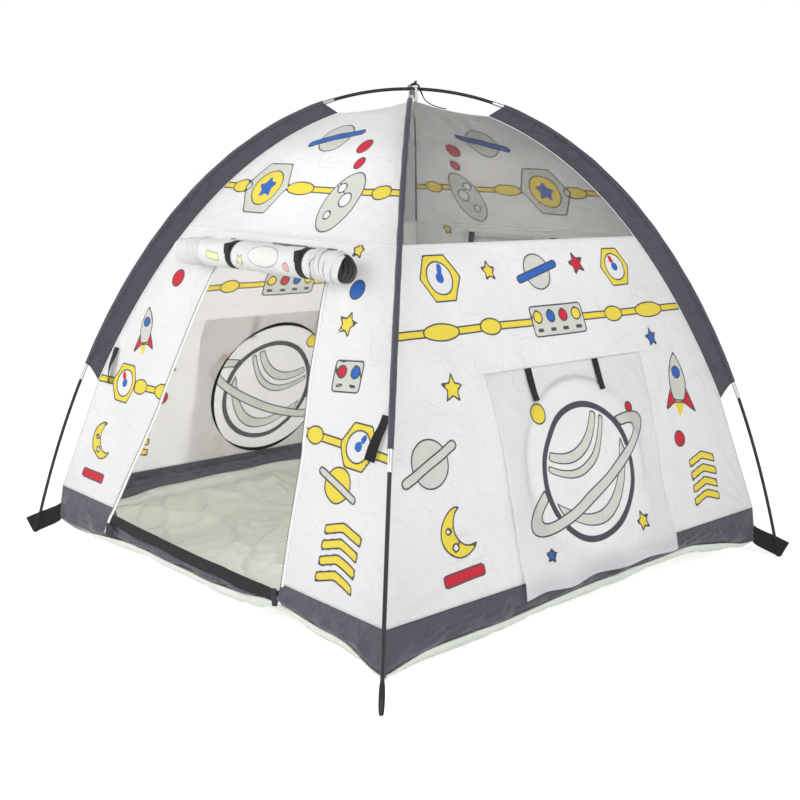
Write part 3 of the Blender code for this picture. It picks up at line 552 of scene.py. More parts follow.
# %% Where the walls run
DIAGONAL = math.sqrt(2)
CANOPY_TOP, CANOPY_HOLE, CROWN_SAG = 1.079, 0.006, 0.006
SEAM_HEIGHT, BAND_TOP = 0.773, 0.122
BAND_TOP_SIDE, FLOOR_SIDE, FLOOR_CORNER = 1.2045, 1.220, 0.037

seam_s = np.linspace(SEAM_START, SEAM_END, 90)
beside = pole_point(seam_s) + in_from_pole(seam_s) * sleeve_width(seam_s)[:, None]
share = np.linspace(0, 1, 12, endpoint=False)
hole = CANOPY_HOLE * DIAGONAL
crown = np.stack((
    hole + (beside[0, 0] - hole) * share,
    CANOPY_TOP + (beside[0, 1] - CANOPY_TOP) * share - CROWN_SAG * 4 * share * (1 - share),
), axis=1)
foot = np.array(((BAND_TOP_SIDE / DIAGONAL, BAND_TOP), (FLOOR_SIDE / DIAGONAL, FLOOR_CORNER)))
SEAM = np.vstack((crown, beside, foot))
WALL_D, WALL_Z = SEAM[:, 0] / DIAGONAL, SEAM[:, 1]
WALL_RUN = run_along(np.stack((WALL_D, WALL_Z), axis=1))
WALL_STEP = 0.006
FRONT, RIGHT, BACK, LEFT = 0.0, math.pi / 2, math.pi, -math.pi / 2
DOOR_SIDES = (("front", FRONT), ("back", BACK))
PORT_SIDES = (("right", RIGHT), ("left", LEFT))


def run_at(height):
    """Run down a wall at which it is so high above the ground."""
    return np.interp(-np.asarray(height), -WALL_Z, WALL_RUN)


def wall_d(run):
    return np.interp(run, WALL_RUN, WALL_D)


def wall_z(run):
    return np.interp(run, WALL_RUN, WALL_Z)


def turned(points, turn):
    """Points on the front wall, carried round the tent to the wall that faces the given way."""
    c, s = math.cos(turn), math.sin(turn)
    x, y, z = np.moveaxis(np.asarray(points, float), -1, 0)
    return np.stack((x * c - y * s, x * s + y * c, z), axis=-1)


def on_wall(x, run, lift=0.0, turn=FRONT):
    """World points at x along a wall and run down its slope, lifted off its outer face."""
    x, run, lift = np.broadcast_arrays(*(np.asarray(value, float) for value in (x, run, lift)))
    slope_d = wall_d(run + WALL_STEP) - wall_d(run - WALL_STEP)
    slope_z = wall_z(run + WALL_STEP) - wall_z(run - WALL_STEP)
    length = np.hypot(slope_d, slope_z)
    d = wall_d(run) - slope_z / length * lift
    z = wall_z(run) + slope_d / length * lift
    return turned(np.stack((x, -d, z), axis=-1), turn)


SEAM_RUN, BAND_RUN = float(run_at(SEAM_HEIGHT)), float(run_at(BAND_TOP))
print(f"slope from crown to level seam {SEAM_RUN:.3f} m, to the band {BAND_RUN:.3f} m")

# %% [markdown]
# ## Making meshes from grids
# One helper turns an array of points, rows by columns, into a mesh, with its UV map in metres. Faces can
# be left out where cloth is cut away. Cloth gets its thickness from a Solidify modifier, which puts the
# second side inwards and closes the edges.

# %% Grid helpers
CLOTH_THICK = 0.0007
SHARP_ANGLE = math.radians(50)


def grid_faces(rows, columns, wrap_rows=False, wrap_columns=False):
    """Corner numbers of each face of a grid, in the order that faces out of a wall."""
    r = np.arange(rows if wrap_rows else rows - 1)[:, None]
    c = np.arange(columns if wrap_columns else columns - 1)[None, :]
    below, beside_it = (r + 1) % rows, (c + 1) % columns
    corners = (r * columns + c, below * columns + c, below * columns + beside_it, r * columns + beside_it)
    return np.stack(np.broadcast_arrays(*corners), axis=-1).reshape(-1, 4)


def signed_volume(points, blocks):
    """Six times the volume inside faces, each cut into a fan: negative if they face inwards."""
    fans = [points[block[:, (0, i, i + 1)]] for block in blocks for i in range(1, block.shape[1] - 1)]
    return sum(float((f[:, 0] * np.cross(f[:, 1], f[:, 2])).sum()) for f in fans)


def mesh_object(name, points, blocks, uv, material, closed=False):
    """An object at the origin, from points with a UV place each and blocks of faces of one size each."""
    points, uv = points.reshape(-1, 3), uv.reshape(-1, 2)
    if closed and signed_volume(points, blocks) < 0:
        blocks = [block[:, ::-1] for block in blocks]
    used, inverse = np.unique(np.concatenate([block.ravel() for block in blocks]), return_inverse=True)
    sizes = np.concatenate([np.full(len(block), block.shape[1]) for block in blocks])
    starts = np.cumsum(sizes) - sizes
    mesh = bpy.data.meshes.new(name)
    mesh.vertices.add(len(used))
    mesh.vertices.foreach_set("co", points[used].astype(np.float32).ravel())
    mesh.loops.add(int(sizes.sum()))
    mesh.loops.foreach_set("vertex_index", inverse.astype(np.int32))
    mesh.polygons.add(len(sizes))
    mesh.polygons.foreach_set("loop_start", starts.astype(np.int32))
    mesh.polygons.foreach_set("loop_total", sizes.astype(np.int32))
    layer = mesh.uv_layers.new(name="cloth")
    layer.data.foreach_set("uv", uv[used][inverse].astype(np.float32).ravel())
    mesh.update(calc_edges=True)
    mesh.validate()
    mesh.materials.append(material)
    mesh.shade_smooth()
    if closed:
        mesh.set_sharp_from_angle(angle=SHARP_ANGLE)
    made = bpy.data.objects.new(name, mesh)
    bpy.context.scene.collection.objects.link(made)
    return made, used


def thicken(piece, thickness, inner=None):
    """Solidify: the grid is the outer face. The inner side may have its own material."""
    solid = piece.modifiers.new("thickness", "SOLIDIFY")
    solid.thickness, solid.offset = thickness, -1.0
    solid.use_quality_normals = True
    if inner is not None:
        piece.data.materials.append(inner)
        solid.material_offset = 1


def shares(rows, columns):
    """Shares from 0 to 1 down a grid's rows and across its columns."""
    return np.linspace(0, 1, rows)[:, None], np.linspace(0, 1, columns)[None, :]


def sheet_grid(name, x, run, points, outer, inner=None, keep=None, ink=None, thickness=CLOTH_THICK):
    """A sheet of cloth from its flat places (x, run) and its world points, all rows by columns.

    Its outer and inner sides have a material each, faces that aren't kept are left out, and its
    print is stored as fields.
    """
    faces = grid_faces(*x.shape)
    if keep is not None:
        faces = faces[keep.ravel()]
    uv = np.stack((x.ravel(), run.ravel()), axis=1)
    piece, used = mesh_object(name, points, [faces], uv, outer)
    for attribute, values in (ink.fields() if ink else {}).items():
        made = piece.data.attributes.new(attribute, "FLOAT_VECTOR", "POINT")
        made.data.foreach_set("vector", values.reshape(-1, 3)[used].astype(np.float32).ravel())
    thicken(piece, thickness, inner)
    return piece


def finish(piece, body, slot, *nodes):
    """Rides on its body and stands for its CAD nodes. The slot is not used."""
    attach(piece, body)
    if nodes:
        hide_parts(*nodes)
    return piece


def finish_sheet(piece, body, slot, node_name):
    """Finishes a piece that is a sheet of cloth."""
    finish(piece, body, slot, node_name)


def ripples(x, y, size, seed, count=10):
    """A smooth random surface between about -1 and 1: a sum of sines in all directions."""
    chance = np.random.default_rng(seed)
    total = np.zeros(np.broadcast(x, y).shape)
    for way, wave, phase in zip(*chance.random((3, count))):
        way, wave = way * math.pi, size * (0.7 + 0.9 * wave)
        total += np.sin((x * math.cos(way) + y * math.sin(way)) * 2 * math.pi / wave + phase * 2 * math.pi)
    return total / math.sqrt(count)


def smooth_step(value, low, high):
    """0 below low, 1 above high, and an S-shaped rise between them."""
    share = np.clip((value - low) / (high - low), 0, 1)
    return share * share * (3 - 2 * share)


print("grid helpers ready")

# %% [markdown]
# ## Drawing the print
# A shape is its distance function: a circle is the distance to its centre less its radius, a bar is the
# distance to a segment less half its width. Painting a shape takes its inside out of every other colour
# and adds it to its own, which is all that a stack of printed inks does.

# %% Shapes as distances


def circle(x, y, centre, radius):
    """Distance to the centre, less the radius."""
    return np.hypot(x - centre[0], y - centre[1]) - radius


def capsule(x, y, a, b, radius):
    """Distance to the segment from a to b, less the radius."""
    along = np.array(b, float) - a
    share = np.clip(((x - a[0]) * along[0] + (y - a[1]) * along[1]) / (along @ along), 0, 1)
    return np.hypot(x - a[0] - share * along[0], y - a[1] - share * along[1]) - radius


def spun(x, y, centre, degrees):
    """Places seen from a frame that is moved to the centre and turned."""
    a = math.radians(degrees)
    u, v = x - centre[0], y - centre[1]
    return u * math.cos(a) + v * math.sin(a), v * math.cos(a) - u * math.sin(a)


def panel(x, y, centre, width, height, corner=0.004, degrees=0.0):
    """A rectangle with rounded corners."""
    u, v = spun(x, y, centre, degrees)
    u, v = np.abs(u) - width / 2 + corner, np.abs(v) - height / 2 + corner
    return np.hypot(np.maximum(u, 0), np.maximum(v, 0)) + np.minimum(np.maximum(u, v), 0) - corner


def oval(x, y, centre, a, b, degrees=0.0):
    """An ellipse, by its implicit value over the slope of that value."""
    u, v = spun(x, y, centre, degrees)
    k, slope = np.hypot(u / a, v / b), np.hypot(u / a**2, v / b**2)
    return np.where(slope > 1e-6, k * (k - 1) / np.maximum(slope, 1e-6), -min(a, b))


def polygon(x, y, points):
    """Distance to the nearest side, negative where a line to the left crosses an odd number of sides."""
    points = np.array(points, float)
    nearest, odd = np.full(x.shape, 9.0), np.zeros(x.shape, bool)
    for a, b in zip(points, np.roll(points, -1, axis=0)):
        nearest = np.minimum(nearest, capsule(x, y, a, b, 0.0))
        if a[1] != b[1]:
            crosses = (a[1] > y) != (b[1] > y)
            odd ^= crosses & (x < (b[0] - a[0]) * (y - a[1]) / (b[1] - a[1]) + a[0])
    return np.where(odd, -nearest, nearest)


def star(x, y, centre, radius, inner=0.45, points=5, degrees=0.0):
    """A star whose notches lie at the inner share of its radius."""
    angles = math.radians(90 + degrees) + np.arange(2 * points) * math.pi / points
    reach = radius * np.where(np.arange(2 * points) % 2, inner, 1.0)
    return polygon(x, y, np.stack((reach * np.cos(angles), reach * np.sin(angles)), axis=1) + centre)


HEXAGON_NOTCH = 0.866


class Print:
    """The print of one sheet, as distances on its flat places x and y (y is up the slope)."""

    def __init__(self, x, y):
        self.x, self.y = x, y
        self.fills = {name: np.ones(x.shape) for name in PRINT_COLOURS}
        self.lines = {"low": np.ones(x.shape), "high": np.ones(x.shape)}
        self.cover = np.ones(x.shape)

    def paint(self, shape, colour=None, line=True, over=False):
        """Lays a shape on what is printed so far, over it if it also hides its lines."""
        for name in self.fills:
            self.fills[name] = np.maximum(self.fills[name], -shape)
        if colour:
            self.fills[colour] = np.minimum(self.fills[colour], shape)
        if over:
            self.cover = np.minimum(self.cover, shape)
        if line:
            level = "high" if over else "low"
            old = self.lines[level]
            nearer = np.where(np.abs(old) < np.abs(shape), np.abs(old), np.abs(shape))
            self.lines[level] = np.sign(old) * np.sign(shape) * nearer

    def disc(self, centre, radius, colour=None, **how):
        self.paint(circle(self.x, self.y, centre, radius), colour, **how)

    def star(self, centre, radius, colour, degrees=0.0):
        self.paint(star(self.x, self.y, centre, radius, degrees=degrees), colour)

    def plate(self, centre, radius, colour):
        """A hexagon, which is a six-pointed star with hardly any notch."""
        self.paint(star(self.x, self.y, centre, radius, HEXAGON_NOTCH, 6, 30.0), colour, over=True)

    def fields(self):
        """The print as vectors for three of the mesh's attributes."""
        fill = self.fills
        spare = np.ones(self.x.shape)
        return {
            "print_a": np.stack((fill["pale"], fill["yellow"], fill["red"]), axis=-1),
            "print_b": np.stack((fill["blue"], fill["dark"], self.cover), axis=-1),
            "print_c": np.stack((self.lines["low"], self.lines["high"], spare), axis=-1),
        }


print("print helpers ready")

# %% [markdown]
# The motifs are a plain space theme in the cloth's usual colours: a belt with beads on it, dials,
# stars, a moon, a ringed planet and a toy rocket. Each is a few shapes painted in turn.

# %% Motifs


BELT_HALF = 0.0075
CHEVRON_PITCH, CHEVRON_THICK, CHEVRON_SLOPE = 0.030, 0.017, 0.3


def orbit_belt(ink, y, start, end, beads=(), slope=0.0):
    """An outlined yellow line with flat beads on it, each as wide as it is said to be."""
    def level(x):
        return y + slope * x

    ink.paint(capsule(ink.x, ink.y, (start, level(start)), (end, level(end)), BELT_HALF), "yellow")
    for x, width in beads:
        bead = oval(ink.x, ink.y, (x, level(x)), width / 2, BELT_HALF * 2.3, math.degrees(math.atan(slope)))
        ink.paint(bead, "yellow", over=True)


def dial(ink, centre, radius, needle="red", degrees=35.0):
    """A six-sided plate with a round face and a needle."""
    ink.plate(centre, radius, "yellow")
    ink.disc(centre, radius * 0.62, over=True)
    way = math.radians(degrees)
    tip = (centre[0] + radius * 0.45 * math.cos(way), centre[1] + radius * 0.45 * math.sin(way))
    ink.paint(capsule(ink.x, ink.y, centre, tip, radius * 0.12), needle, line=False, over=True)
    ink.disc(centre, radius * 0.2, "blue", line=False, over=True)


def moon(ink, centre, radius):
    """A crescent: a circle with another taken out of it, and two small craters."""
    bite = circle(ink.x, ink.y, (centre[0] + radius * 0.48, centre[1] + radius * 0.22), radius * 0.82)
    ink.paint(np.maximum(circle(ink.x, ink.y, centre, radius), -bite), "yellow")
    for dx, dy, size in ((-0.62, 0.12, 0.13), (-0.35, -0.55, 0.16)):
        ink.disc((centre[0] + dx * radius, centre[1] + dy * radius), size * radius)


def planet(ink, centre, radius, body="pale", ring="blue", degrees=20.0):
    """A ball with a tilted ring seen edge on, which hides the ball's outline where it crosses."""
    centre = np.array(centre)
    ink.disc(centre, radius, body)
    reach = 1.55 * radius * np.array((math.cos(math.radians(degrees)), math.sin(math.radians(degrees))))
    ink.paint(capsule(ink.x, ink.y, centre - reach, centre + reach, radius * 0.2), ring, over=True)


def rocket(ink, base, height, degrees=0.0):
    """A toy rocket: a pointed body made of two arcs, a window, fins and a flame."""
    u, v = spun(ink.x, ink.y, base, degrees)
    r, half, widest = height * 0.62, height * 0.17, v - height * 0.42
    arcs = np.maximum(np.hypot(u + r - half, widest) - r, np.hypot(u - r + half, widest) - r)
    body = np.maximum(arcs, height * 0.16 - v)
    fin = polygon(u, v, (
        (-half * 2.0, 0), (-half * 0.6, height * 0.13), (half * 0.6, height * 0.13), (half * 2.0, 0),
        (half * 0.7, height * 0.42), (-half * 0.7, height * 0.42),
    ))
    flame = star(u, v, (0, height * 0.06), height * 0.16, 0.4, 3, 180)
    ink.paint(flame, "yellow", line=False)
    ink.paint(fin, "red")
    ink.paint(body, "pale", over=True)
    ink.paint(np.hypot(u, v - height * 0.56) - half * 0.5, "blue", over=True)


def chevrons(ink, centre, width, count, colour="yellow"):
    """Arrow-shaped stripes, one above another: each is a flat bar bent up in its middle."""
    for k in range(count):
        u, v = ink.x - centre[0], ink.y - centre[1] - (k - (count - 1) / 2) * CHEVRON_PITCH
        stripe = (np.abs(v + CHEVRON_SLOPE * np.abs(u)) - CHEVRON_THICK / 2) * 0.96
        ink.paint(np.maximum(stripe, np.abs(u) - width / 2), colour)


def console(ink, centre, width, height, colours, degrees=0.0):
    """A rounded plate with a row of lamps and a dark slot under each."""
    ink.paint(panel(ink.x, ink.y, centre, width, height, 0.008, degrees), "pale", over=True)
    u, v = spun(ink.x, ink.y, centre, degrees)
    for k, colour in enumerate(colours):
        x = (k - (len(colours) - 1) / 2) * width / len(colours)
        ink.paint(np.hypot(u - x, v - height * 0.14) - height * 0.2, colour, over=True)
        slot = panel(u, v, (x, -height * 0.3), width / len(colours) * 0.5, height * 0.12, 0.002)
        ink.paint(slot, "dark", line=False)


print("motifs ready")

# %% [markdown]
# ## Printing the walls
# A wall's print is laid out on the flat cloth, with y counted up the slope from the band. The upper and
# lower panels share one layout, so a motif could run on over the level seam. The doorway side is printed
# beside the opening only, and each side wall leaves room for its port's flap.

# %% Wall prints


def front_print(x, y):
    """Motifs beside the doorway, and those of the upper panel over it."""
    ink = Print(x, y)
    orbit_belt(ink, 0.300, -0.60, -0.20, ((-0.345, 0.06), (-0.25, 0.06)), slope=0.03)
    dial(ink, (-0.420, 0.288), 0.052, degrees=120)
    moon(ink, (-0.462, 0.140), 0.044)
    ink.paint(panel(x, y, (-0.474, 0.052), 0.098, 0.021, 0.004), "red")
    rocket(ink, (-0.378, 0.372), 0.128, 12)
    ink.disc((-0.330, 0.560), 0.021, "red")
    ink.star((-0.262, 0.640), 0.026, "blue", 10)
    chevrons(ink, (0.445, 0.100), 0.102, 4)
    planet(ink, (0.405, 0.216), 0.034, "yellow", "pale", -20)
    orbit_belt(ink, 0.305, 0.262, 0.56, ((0.312, 0.05),), slope=-0.03)
    dial(ink, (0.437, 0.296), 0.050, "blue", 60)
    console(ink, (0.358, 0.420), 0.078, 0.062, ("red", "blue"), 6)
    ink.star((0.310, 0.520), 0.028, "yellow", -8)
    ink.disc((0.305, 0.592), 0.020, "blue")
    ink.star((0.262, 0.675), 0.020, "yellow")
    # the upper panel
    orbit_belt(ink, 0.812, -0.36, 0.38, ((-0.245, 0.07), (-0.025, 0.09), (0.245, 0.06)))
    ink.plate((-0.150, 0.812), 0.080, "pale")
    ink.disc((-0.150, 0.812), 0.048, "yellow", over=True)
    ink.paint(star(x, y, (-0.150, 0.812), 0.034, 0.5, 5, 8), "blue", line=False, over=True)
    planet(ink, (-0.030, 0.968), 0.046, "pale", "blue", 18)
    ink.disc((0.092, 0.940), 0.021, "red")
    ink.disc((0.118, 0.888), 0.016, "red")
    ink.paint(oval(x, y, (0.130, 0.785), 0.052, 0.078, -14), "pale", over=True)
    for dx, dy, size in ((-0.016, 0.034, 0.013), (0.014, 0.004, 0.018), (-0.018, -0.036, 0.011)):
        ink.disc((0.130 + dx, 0.785 + dy), size, over=True)
    return ink


def side_print(x, y):
    """Motifs over the port's flap and on both sides of it."""
    ink = Print(x, y)
    orbit_belt(ink, 0.512, -0.46, 0.45, ((-0.335, 0.10), (-0.20, 0.06), (0.205, 0.06), (0.335, 0.10)))
    console(ink, (0.012, 0.512), 0.165, 0.066, ("yellow", "blue", "red", "yellow"))
    dial(ink, (-0.300, 0.622), 0.056, "blue", 75)
    dial(ink, (0.262, 0.622), 0.052, "red", 110)
    planet(ink, (-0.010, 0.622), 0.040, "pale", "blue", 14)
    ink.star((0.125, 0.634), 0.028, "red", 12)
    ink.star((-0.158, 0.630), 0.024, "yellow")
    rocket(ink, (0.368, 0.266), 0.165, -8)
    ink.star((0.318, 0.446), 0.024, "blue", 6)
    moon(ink, (-0.388, 0.132), 0.048)
    ink.paint(panel(x, y, (-0.392, 0.050), 0.105, 0.022, 0.004, 3), "red")
    planet(ink, (-0.440, 0.268), 0.046, "pale", "pale", 22)
    ink.star((-0.345, 0.400), 0.030, "yellow", -6)
    chevrons(ink, (0.420, 0.112), 0.098, 4)
    ink.disc((0.350, 0.205), 0.018, "red")
    return ink


EDGE_FADE = 0.035
WRINKLE = 0.0024


def wall_wrinkles(x, run, half, top, bottom, seed, size=WRINKLE):
    """Slow waves and pulls from the lower corners, fading out at every edge of the panel."""
    calm = 1.0
    for inside in (half - np.abs(x), run - top, bottom - run):
        calm = calm * smooth_step(inside, 0, EDGE_FADE)
    waves = ripples(x, run, 0.22, seed) + 0.45 * ripples(x, run * 0.5, 0.06, seed + 1)
    pulls = np.zeros(x.shape)
    for side in (-1, 1):
        far = np.hypot(x - side * half, run - bottom)
        angle = np.arctan2(bottom - run, np.abs(x - side * half) + 1e-6)
        pulls += np.sin(angle * 17 + side + seed) * np.exp(-far / 0.16)
    return size * calm * (waves * 0.8 + pulls)


print("front motifs and side motifs laid out")

# %% [markdown]
# ## The lower walls
# The doorway walls are three strips of one grid: left of the opening, over and across it, and right of
# it. The strips' edges follow the jambs, so the opening's sides are true mesh edges. The faces of the
# middle strip are left out below the door's head.

# %% Lower walls with doorways
CELL = 0.0065
CORNER_GAP = 0.0004
DOORWAY_COLUMNS = (44, 58, 46)
DOOR_TOP, DOOR_MIDDLE = 0.742, 0.372
JAMB_HEIGHTS = (BAND_TOP, DOOR_MIDDLE, DOOR_TOP)
LEFT_JAMB, RIGHT_JAMB = (-0.342, -0.243, -0.181), (0.302, 0.284, 0.191)


def left_jamb(z):
    return np.interp(z, JAMB_HEIGHTS, LEFT_JAMB)


def right_jamb(z):
    return np.interp(z, JAMB_HEIGHTS, RIGHT_JAMB)


def row_runs(top, bottom, *through, cell=CELL):
    """Evenly spaced runs from top to bottom that also pass through the given ones."""
    stops = [top, *sorted(through), bottom]
    steps = [(a, b, max(2, int(round((b - a) / cell)) + 1)) for a, b in zip(stops, stops[1:])]
    return np.concatenate((*(np.linspace(a, b, count)[:-1] for a, b, count in steps), [bottom]))


def doorway_wall(name, turn, seed):
    """Three strips side by side, whose middle one keeps only its faces over the door's head."""
    head = float(run_at(DOOR_TOP))
    run = row_runs(SEAM_RUN, BAND_RUN, head)[:, None]
    z, half = wall_z(run), wall_d(run) - CORNER_GAP
    left, right_side = left_jamb(z), right_jamb(z)
    counts = DOORWAY_COLUMNS
    edges = ((-half, left), (left, right_side), (right_side, half))
    parts = [a + (b - a) * np.linspace(0, 1, n)[None, :] for (a, b), n in zip(edges, counts)]
    x = np.concatenate((parts[0], parts[1][:, 1:-1], parts[2]), axis=1)
    run = np.broadcast_to(run, x.shape)
    near_jamb = np.minimum(np.abs(x - left), np.abs(x - right_side))
    calm = np.where(z < DOOR_TOP + 0.02, smooth_step(near_jamb, 0, 0.03), 1.0)
    lift = wall_wrinkles(x, run, half, SEAM_RUN, BAND_RUN, seed) * calm
    first, last = counts[0] - 1, counts[0] + counts[1] - 3
    column = np.arange(x.shape[1] - 1)[None, :]
    open_here = (run[:-1, :1] > head - 1e-6) & (column >= first) & (column <= last)
    ink, points = front_print(x, BAND_RUN - run), on_wall(x, run, lift, turn)
    return sheet_grid(name, x, run, points, PRINTED_CLOTH, CLOTH_BACK, ~open_here, ink)


for side, turn, seed in (("front", FRONT, 11), ("back", BACK, 23)):
    wall = doorway_wall(f"{side}_lower_cloth", turn, seed)
    finish_sheet(wall, "tent", "white_cloth", f"{side}_lower_wall")

# %% [markdown]
# ## The side walls and their ports
# Each side wall is a plain grid. The faces inside the port's circle are left out, and the points left on
# the hole's edge are moved onto the circle, which gives a round edge without a finer grid. Wrinkles fade
# out at the port and along the seam that the flap hangs from, where the stitching holds the cloth flat.

# %% Lower walls with ports
PORT_RADIUS, PORT_HEIGHT = 0.190, 0.312
PORT_RUN = float(run_at(PORT_HEIGHT))
PORT_COLUMNS, PORT_CALM = 176, 0.05
FLAP_NEAR, FLAP_FAR, FLAP_CALM = 0.250, 0.258, 0.30
FLAP_TOP, FLAP_FOOT = 0.525, 0.092
FLAP_TOP_RUN, FLAP_FOOT_RUN = float(run_at(FLAP_TOP)), float(run_at(FLAP_FOOT))


def port_wall(name, turn, seed):
    """A grid with a round hole. Points with faces both kept and left out are moved onto its edge."""
    run = row_runs(SEAM_RUN, BAND_RUN)[:, None]
    half = wall_d(run) - CORNER_GAP
    x = half * np.linspace(-1, 1, PORT_COLUMNS)[None, :]
    run = np.broadcast_to(run, x.shape).copy()
    reach = np.hypot(x, run - PORT_RUN)
    near, far = slice(None, -1), slice(1, None)
    corners = ((near, near), (far, near), (near, far), (far, far))
    keep = sum(reach[corner] for corner in corners) / 4 > PORT_RADIUS
    by_hole, by_cloth = np.zeros(x.shape, bool), np.zeros(x.shape, bool)
    for corner in corners:
        by_hole[corner] |= ~keep
        by_cloth[corner] |= keep
    snap = by_hole & by_cloth
    x[snap] *= PORT_RADIUS / reach[snap]
    run[snap] = PORT_RUN + (run[snap] - PORT_RUN) * PORT_RADIUS / reach[snap]
    calm = smooth_step(np.hypot(x, run - PORT_RUN), PORT_RADIUS, PORT_RADIUS + PORT_CALM)
    from_flap_seam = smooth_step(np.abs(run - FLAP_TOP_RUN), 0.006, 0.04)
    calm = calm * (1 - smooth_step(FLAP_CALM - np.abs(x), 0, 0.03) * (1 - from_flap_seam))
    lift = wall_wrinkles(x, run, wall_d(run), SEAM_RUN, BAND_RUN, seed) * calm
    ink, points = side_print(x, BAND_RUN - run), on_wall(x, run, lift, turn)
    return sheet_grid(name, x, run, points, PRINTED_CLOTH, CLOTH_BACK, keep, ink)


for side, turn, seed in (("right", RIGHT, 31), ("left", LEFT, 47)):
    wall = port_wall(f"{side}_lower_cloth", turn, seed)
    finish_sheet(wall, "tent", "white_cloth", f"{side}_lower_wall")

# %% [markdown]
# ## The upper panels
# Above the level seam the front and back carry on in printed cloth, and the sides are net windows. All
# four run to the small hole at the crown, where the ribbon is sewn in.

# %% Upper walls and windows
UPPER_CELL, UPPER_WRINKLE = 0.0075, 0.0017


def upper_panel(name, turn, seed, sag, columns, outer, inner=None):
    """A panel that hangs a little between its seams. Where it has an inner side, it is printed."""
    run = row_runs(0.0, SEAM_RUN, cell=UPPER_CELL)[:, None]
    half = wall_d(run) - CORNER_GAP
    x = half * np.linspace(-1, 1, columns)[None, :]
    run = np.broadcast_to(run, x.shape)
    lift = wall_wrinkles(x, run, half, 0.0, SEAM_RUN, seed, UPPER_WRINKLE)
    slack = sag * (1 - (x / half) ** 2)
    lift = lift - slack * smooth_step(run, 0.05, 0.2) * smooth_step(SEAM_RUN - run, 0, 0.15)
    ink = front_print(x, BAND_RUN - run) if inner else None
    return sheet_grid(name, x, run, on_wall(x, run, lift, turn), outer, inner, ink=ink)


for side, turn, seed in (("front", FRONT, 53), ("back", BACK, 61)):
    cloth = upper_panel(f"{side}_upper_cloth", turn, seed, 0.002, 90, PRINTED_CLOTH, CLOTH_BACK)
    finish_sheet(cloth, "tent", "white_cloth", f"{side}_upper_wall")
for side, turn, seed in (("right", RIGHT, 71), ("left", LEFT, 83)):
    net = upper_panel(f"{side}_window", turn, seed, 0.004, 60, NET)
    finish_sheet(net, "tent", "window_net", f"{side}_window_net")

# %% [markdown]
# ## The dark band and the groundsheet
# A dark band closes the walls' feet, and its lower edge is sewn to the groundsheet's rim. The poles pull
# the corners down and out, so between the corners the band and the rim ride up in slow waves. The
# heights below are the rim's, read at a few places along a side, and a smooth curve runs through them.

# %% Band
HEM_X = (
    -0.61, -0.565, -0.51, -0.40, -0.27, -0.11, 0.06, 0.15,
    0.21, 0.28, 0.34, 0.41, 0.49, 0.53, 0.57, 0.61,
)
FRONT_HEM = (37, 31, 28, 43, 57, 57, 57, 63, 71, 82, 77, 69, 69, 57, 39, 37)
SIDE_HEM = (37, 45, 58, 59, 60, 70, 74, 75, 76, 78, 80, 68, 56, 45, 37, 37)
SILL_DROP, SILL_SAG, SILL_EASE = 0.014, 0.006, 0.004
BAND_ROWS, BAND_COLUMNS = 17, 170


def hem_height(x, heights):
    """Height of the band's lower edge, in metres, smoothed over 30 mm either side."""
    spread = np.linspace(-0.03, 0.03, 7)
    return np.mean([np.interp(x + shift, HEM_X, heights) for shift in spread], axis=0) / 1000


def sill_drop(x):
    """How far the sill lies below the band's top."""
    return SILL_DROP + SILL_SAG * np.cos(x * 3) ** 2


def band(name, turn, heights, doorway, seed):
    """Rows go from the band's top, or the sill, down to the hem, and the cloth puffs out between them.

    Under a sill it stays flat in the upper half, where the stitched sill tape stiffens it.
    """
    across = np.linspace(-1, 1, BAND_COLUMNS)[None, :]
    down = np.linspace(0, 1, BAND_ROWS)[:, None]
    x_foot = across * FLOOR_SIDE / 2
    inside = np.full(across.shape, float(doorway))
    for way, jamb in ((1, LEFT_JAMB[0]), (-1, RIGHT_JAMB[0])):
        inside = inside * smooth_step(way * x_foot, way * jamb - SILL_EASE, way * jamb + SILL_EASE)
    top = BAND_TOP - inside * sill_drop(x_foot)
    z = top + (hem_height(x_foot, heights) - top) * down
    run = run_at(z)
    half = wall_d(run) - CORNER_GAP
    x = across * half
    pressed = 1 - inside * (1 - smooth_step(down, 0.45, 0.95))
    calm = smooth_step(half - np.abs(x), 0, 0.04) * pressed
    puff = 0.005 * np.sin(math.pi * down) * calm
    folds = 0.0048 * ripples(x, run * 0.7, 0.11, seed) * smooth_step(down, 0, 0.6) * calm
    fine = 0.0026 * ripples(x + run, run * 2, 0.035, seed + 1) * smooth_step(down, 0.1, 0.5)
    folds = folds + fine * np.sin(math.pi * down) * calm
    curl = -0.006 * smooth_step(down, 0.8, 1.0)
    points = on_wall(x, run, puff + folds * (1 - 0.6 * smooth_step(down, 0.85, 1)) + curl, turn)
    return sheet_grid(name, x, np.broadcast_to(run, x.shape), points, DARK_CLOTH, DARK_LINING)


for side, turn, heights, doorway, seed in (
    ("front", FRONT, FRONT_HEM, True, 101), ("right", RIGHT, SIDE_HEM, False, 103),
    ("back", BACK, FRONT_HEM, True, 107), ("left", LEFT, SIDE_HEM[::-1], False, 109),
):
    piece = band(f"{side}_band", turn, heights, doorway, seed)
    finish_sheet(piece, "tent", "grey_cloth", f"{side}_skirt")

# %% [markdown]
# The groundsheet is a tray. It lies on the ground in the middle, and rises to the band in a slope and a
# short steep lip, whose pale edge shows under the band. The sheet is bigger than the pull of the corners
# lets it lie, so it ruckles: each ruckle is where a slow random surface crosses zero.

# %% Groundsheet
TRAY_CELLS = 150
TRAY_LIFT = 0.0006
LIP_HEIGHT, LIP_SHARE, SLOPE_SHARE = 0.030, 0.972, 0.72
RUCKLES = ((0.40, 0.0150, 5), (0.21, 0.0095, 6), (0.11, 0.0034, 7))


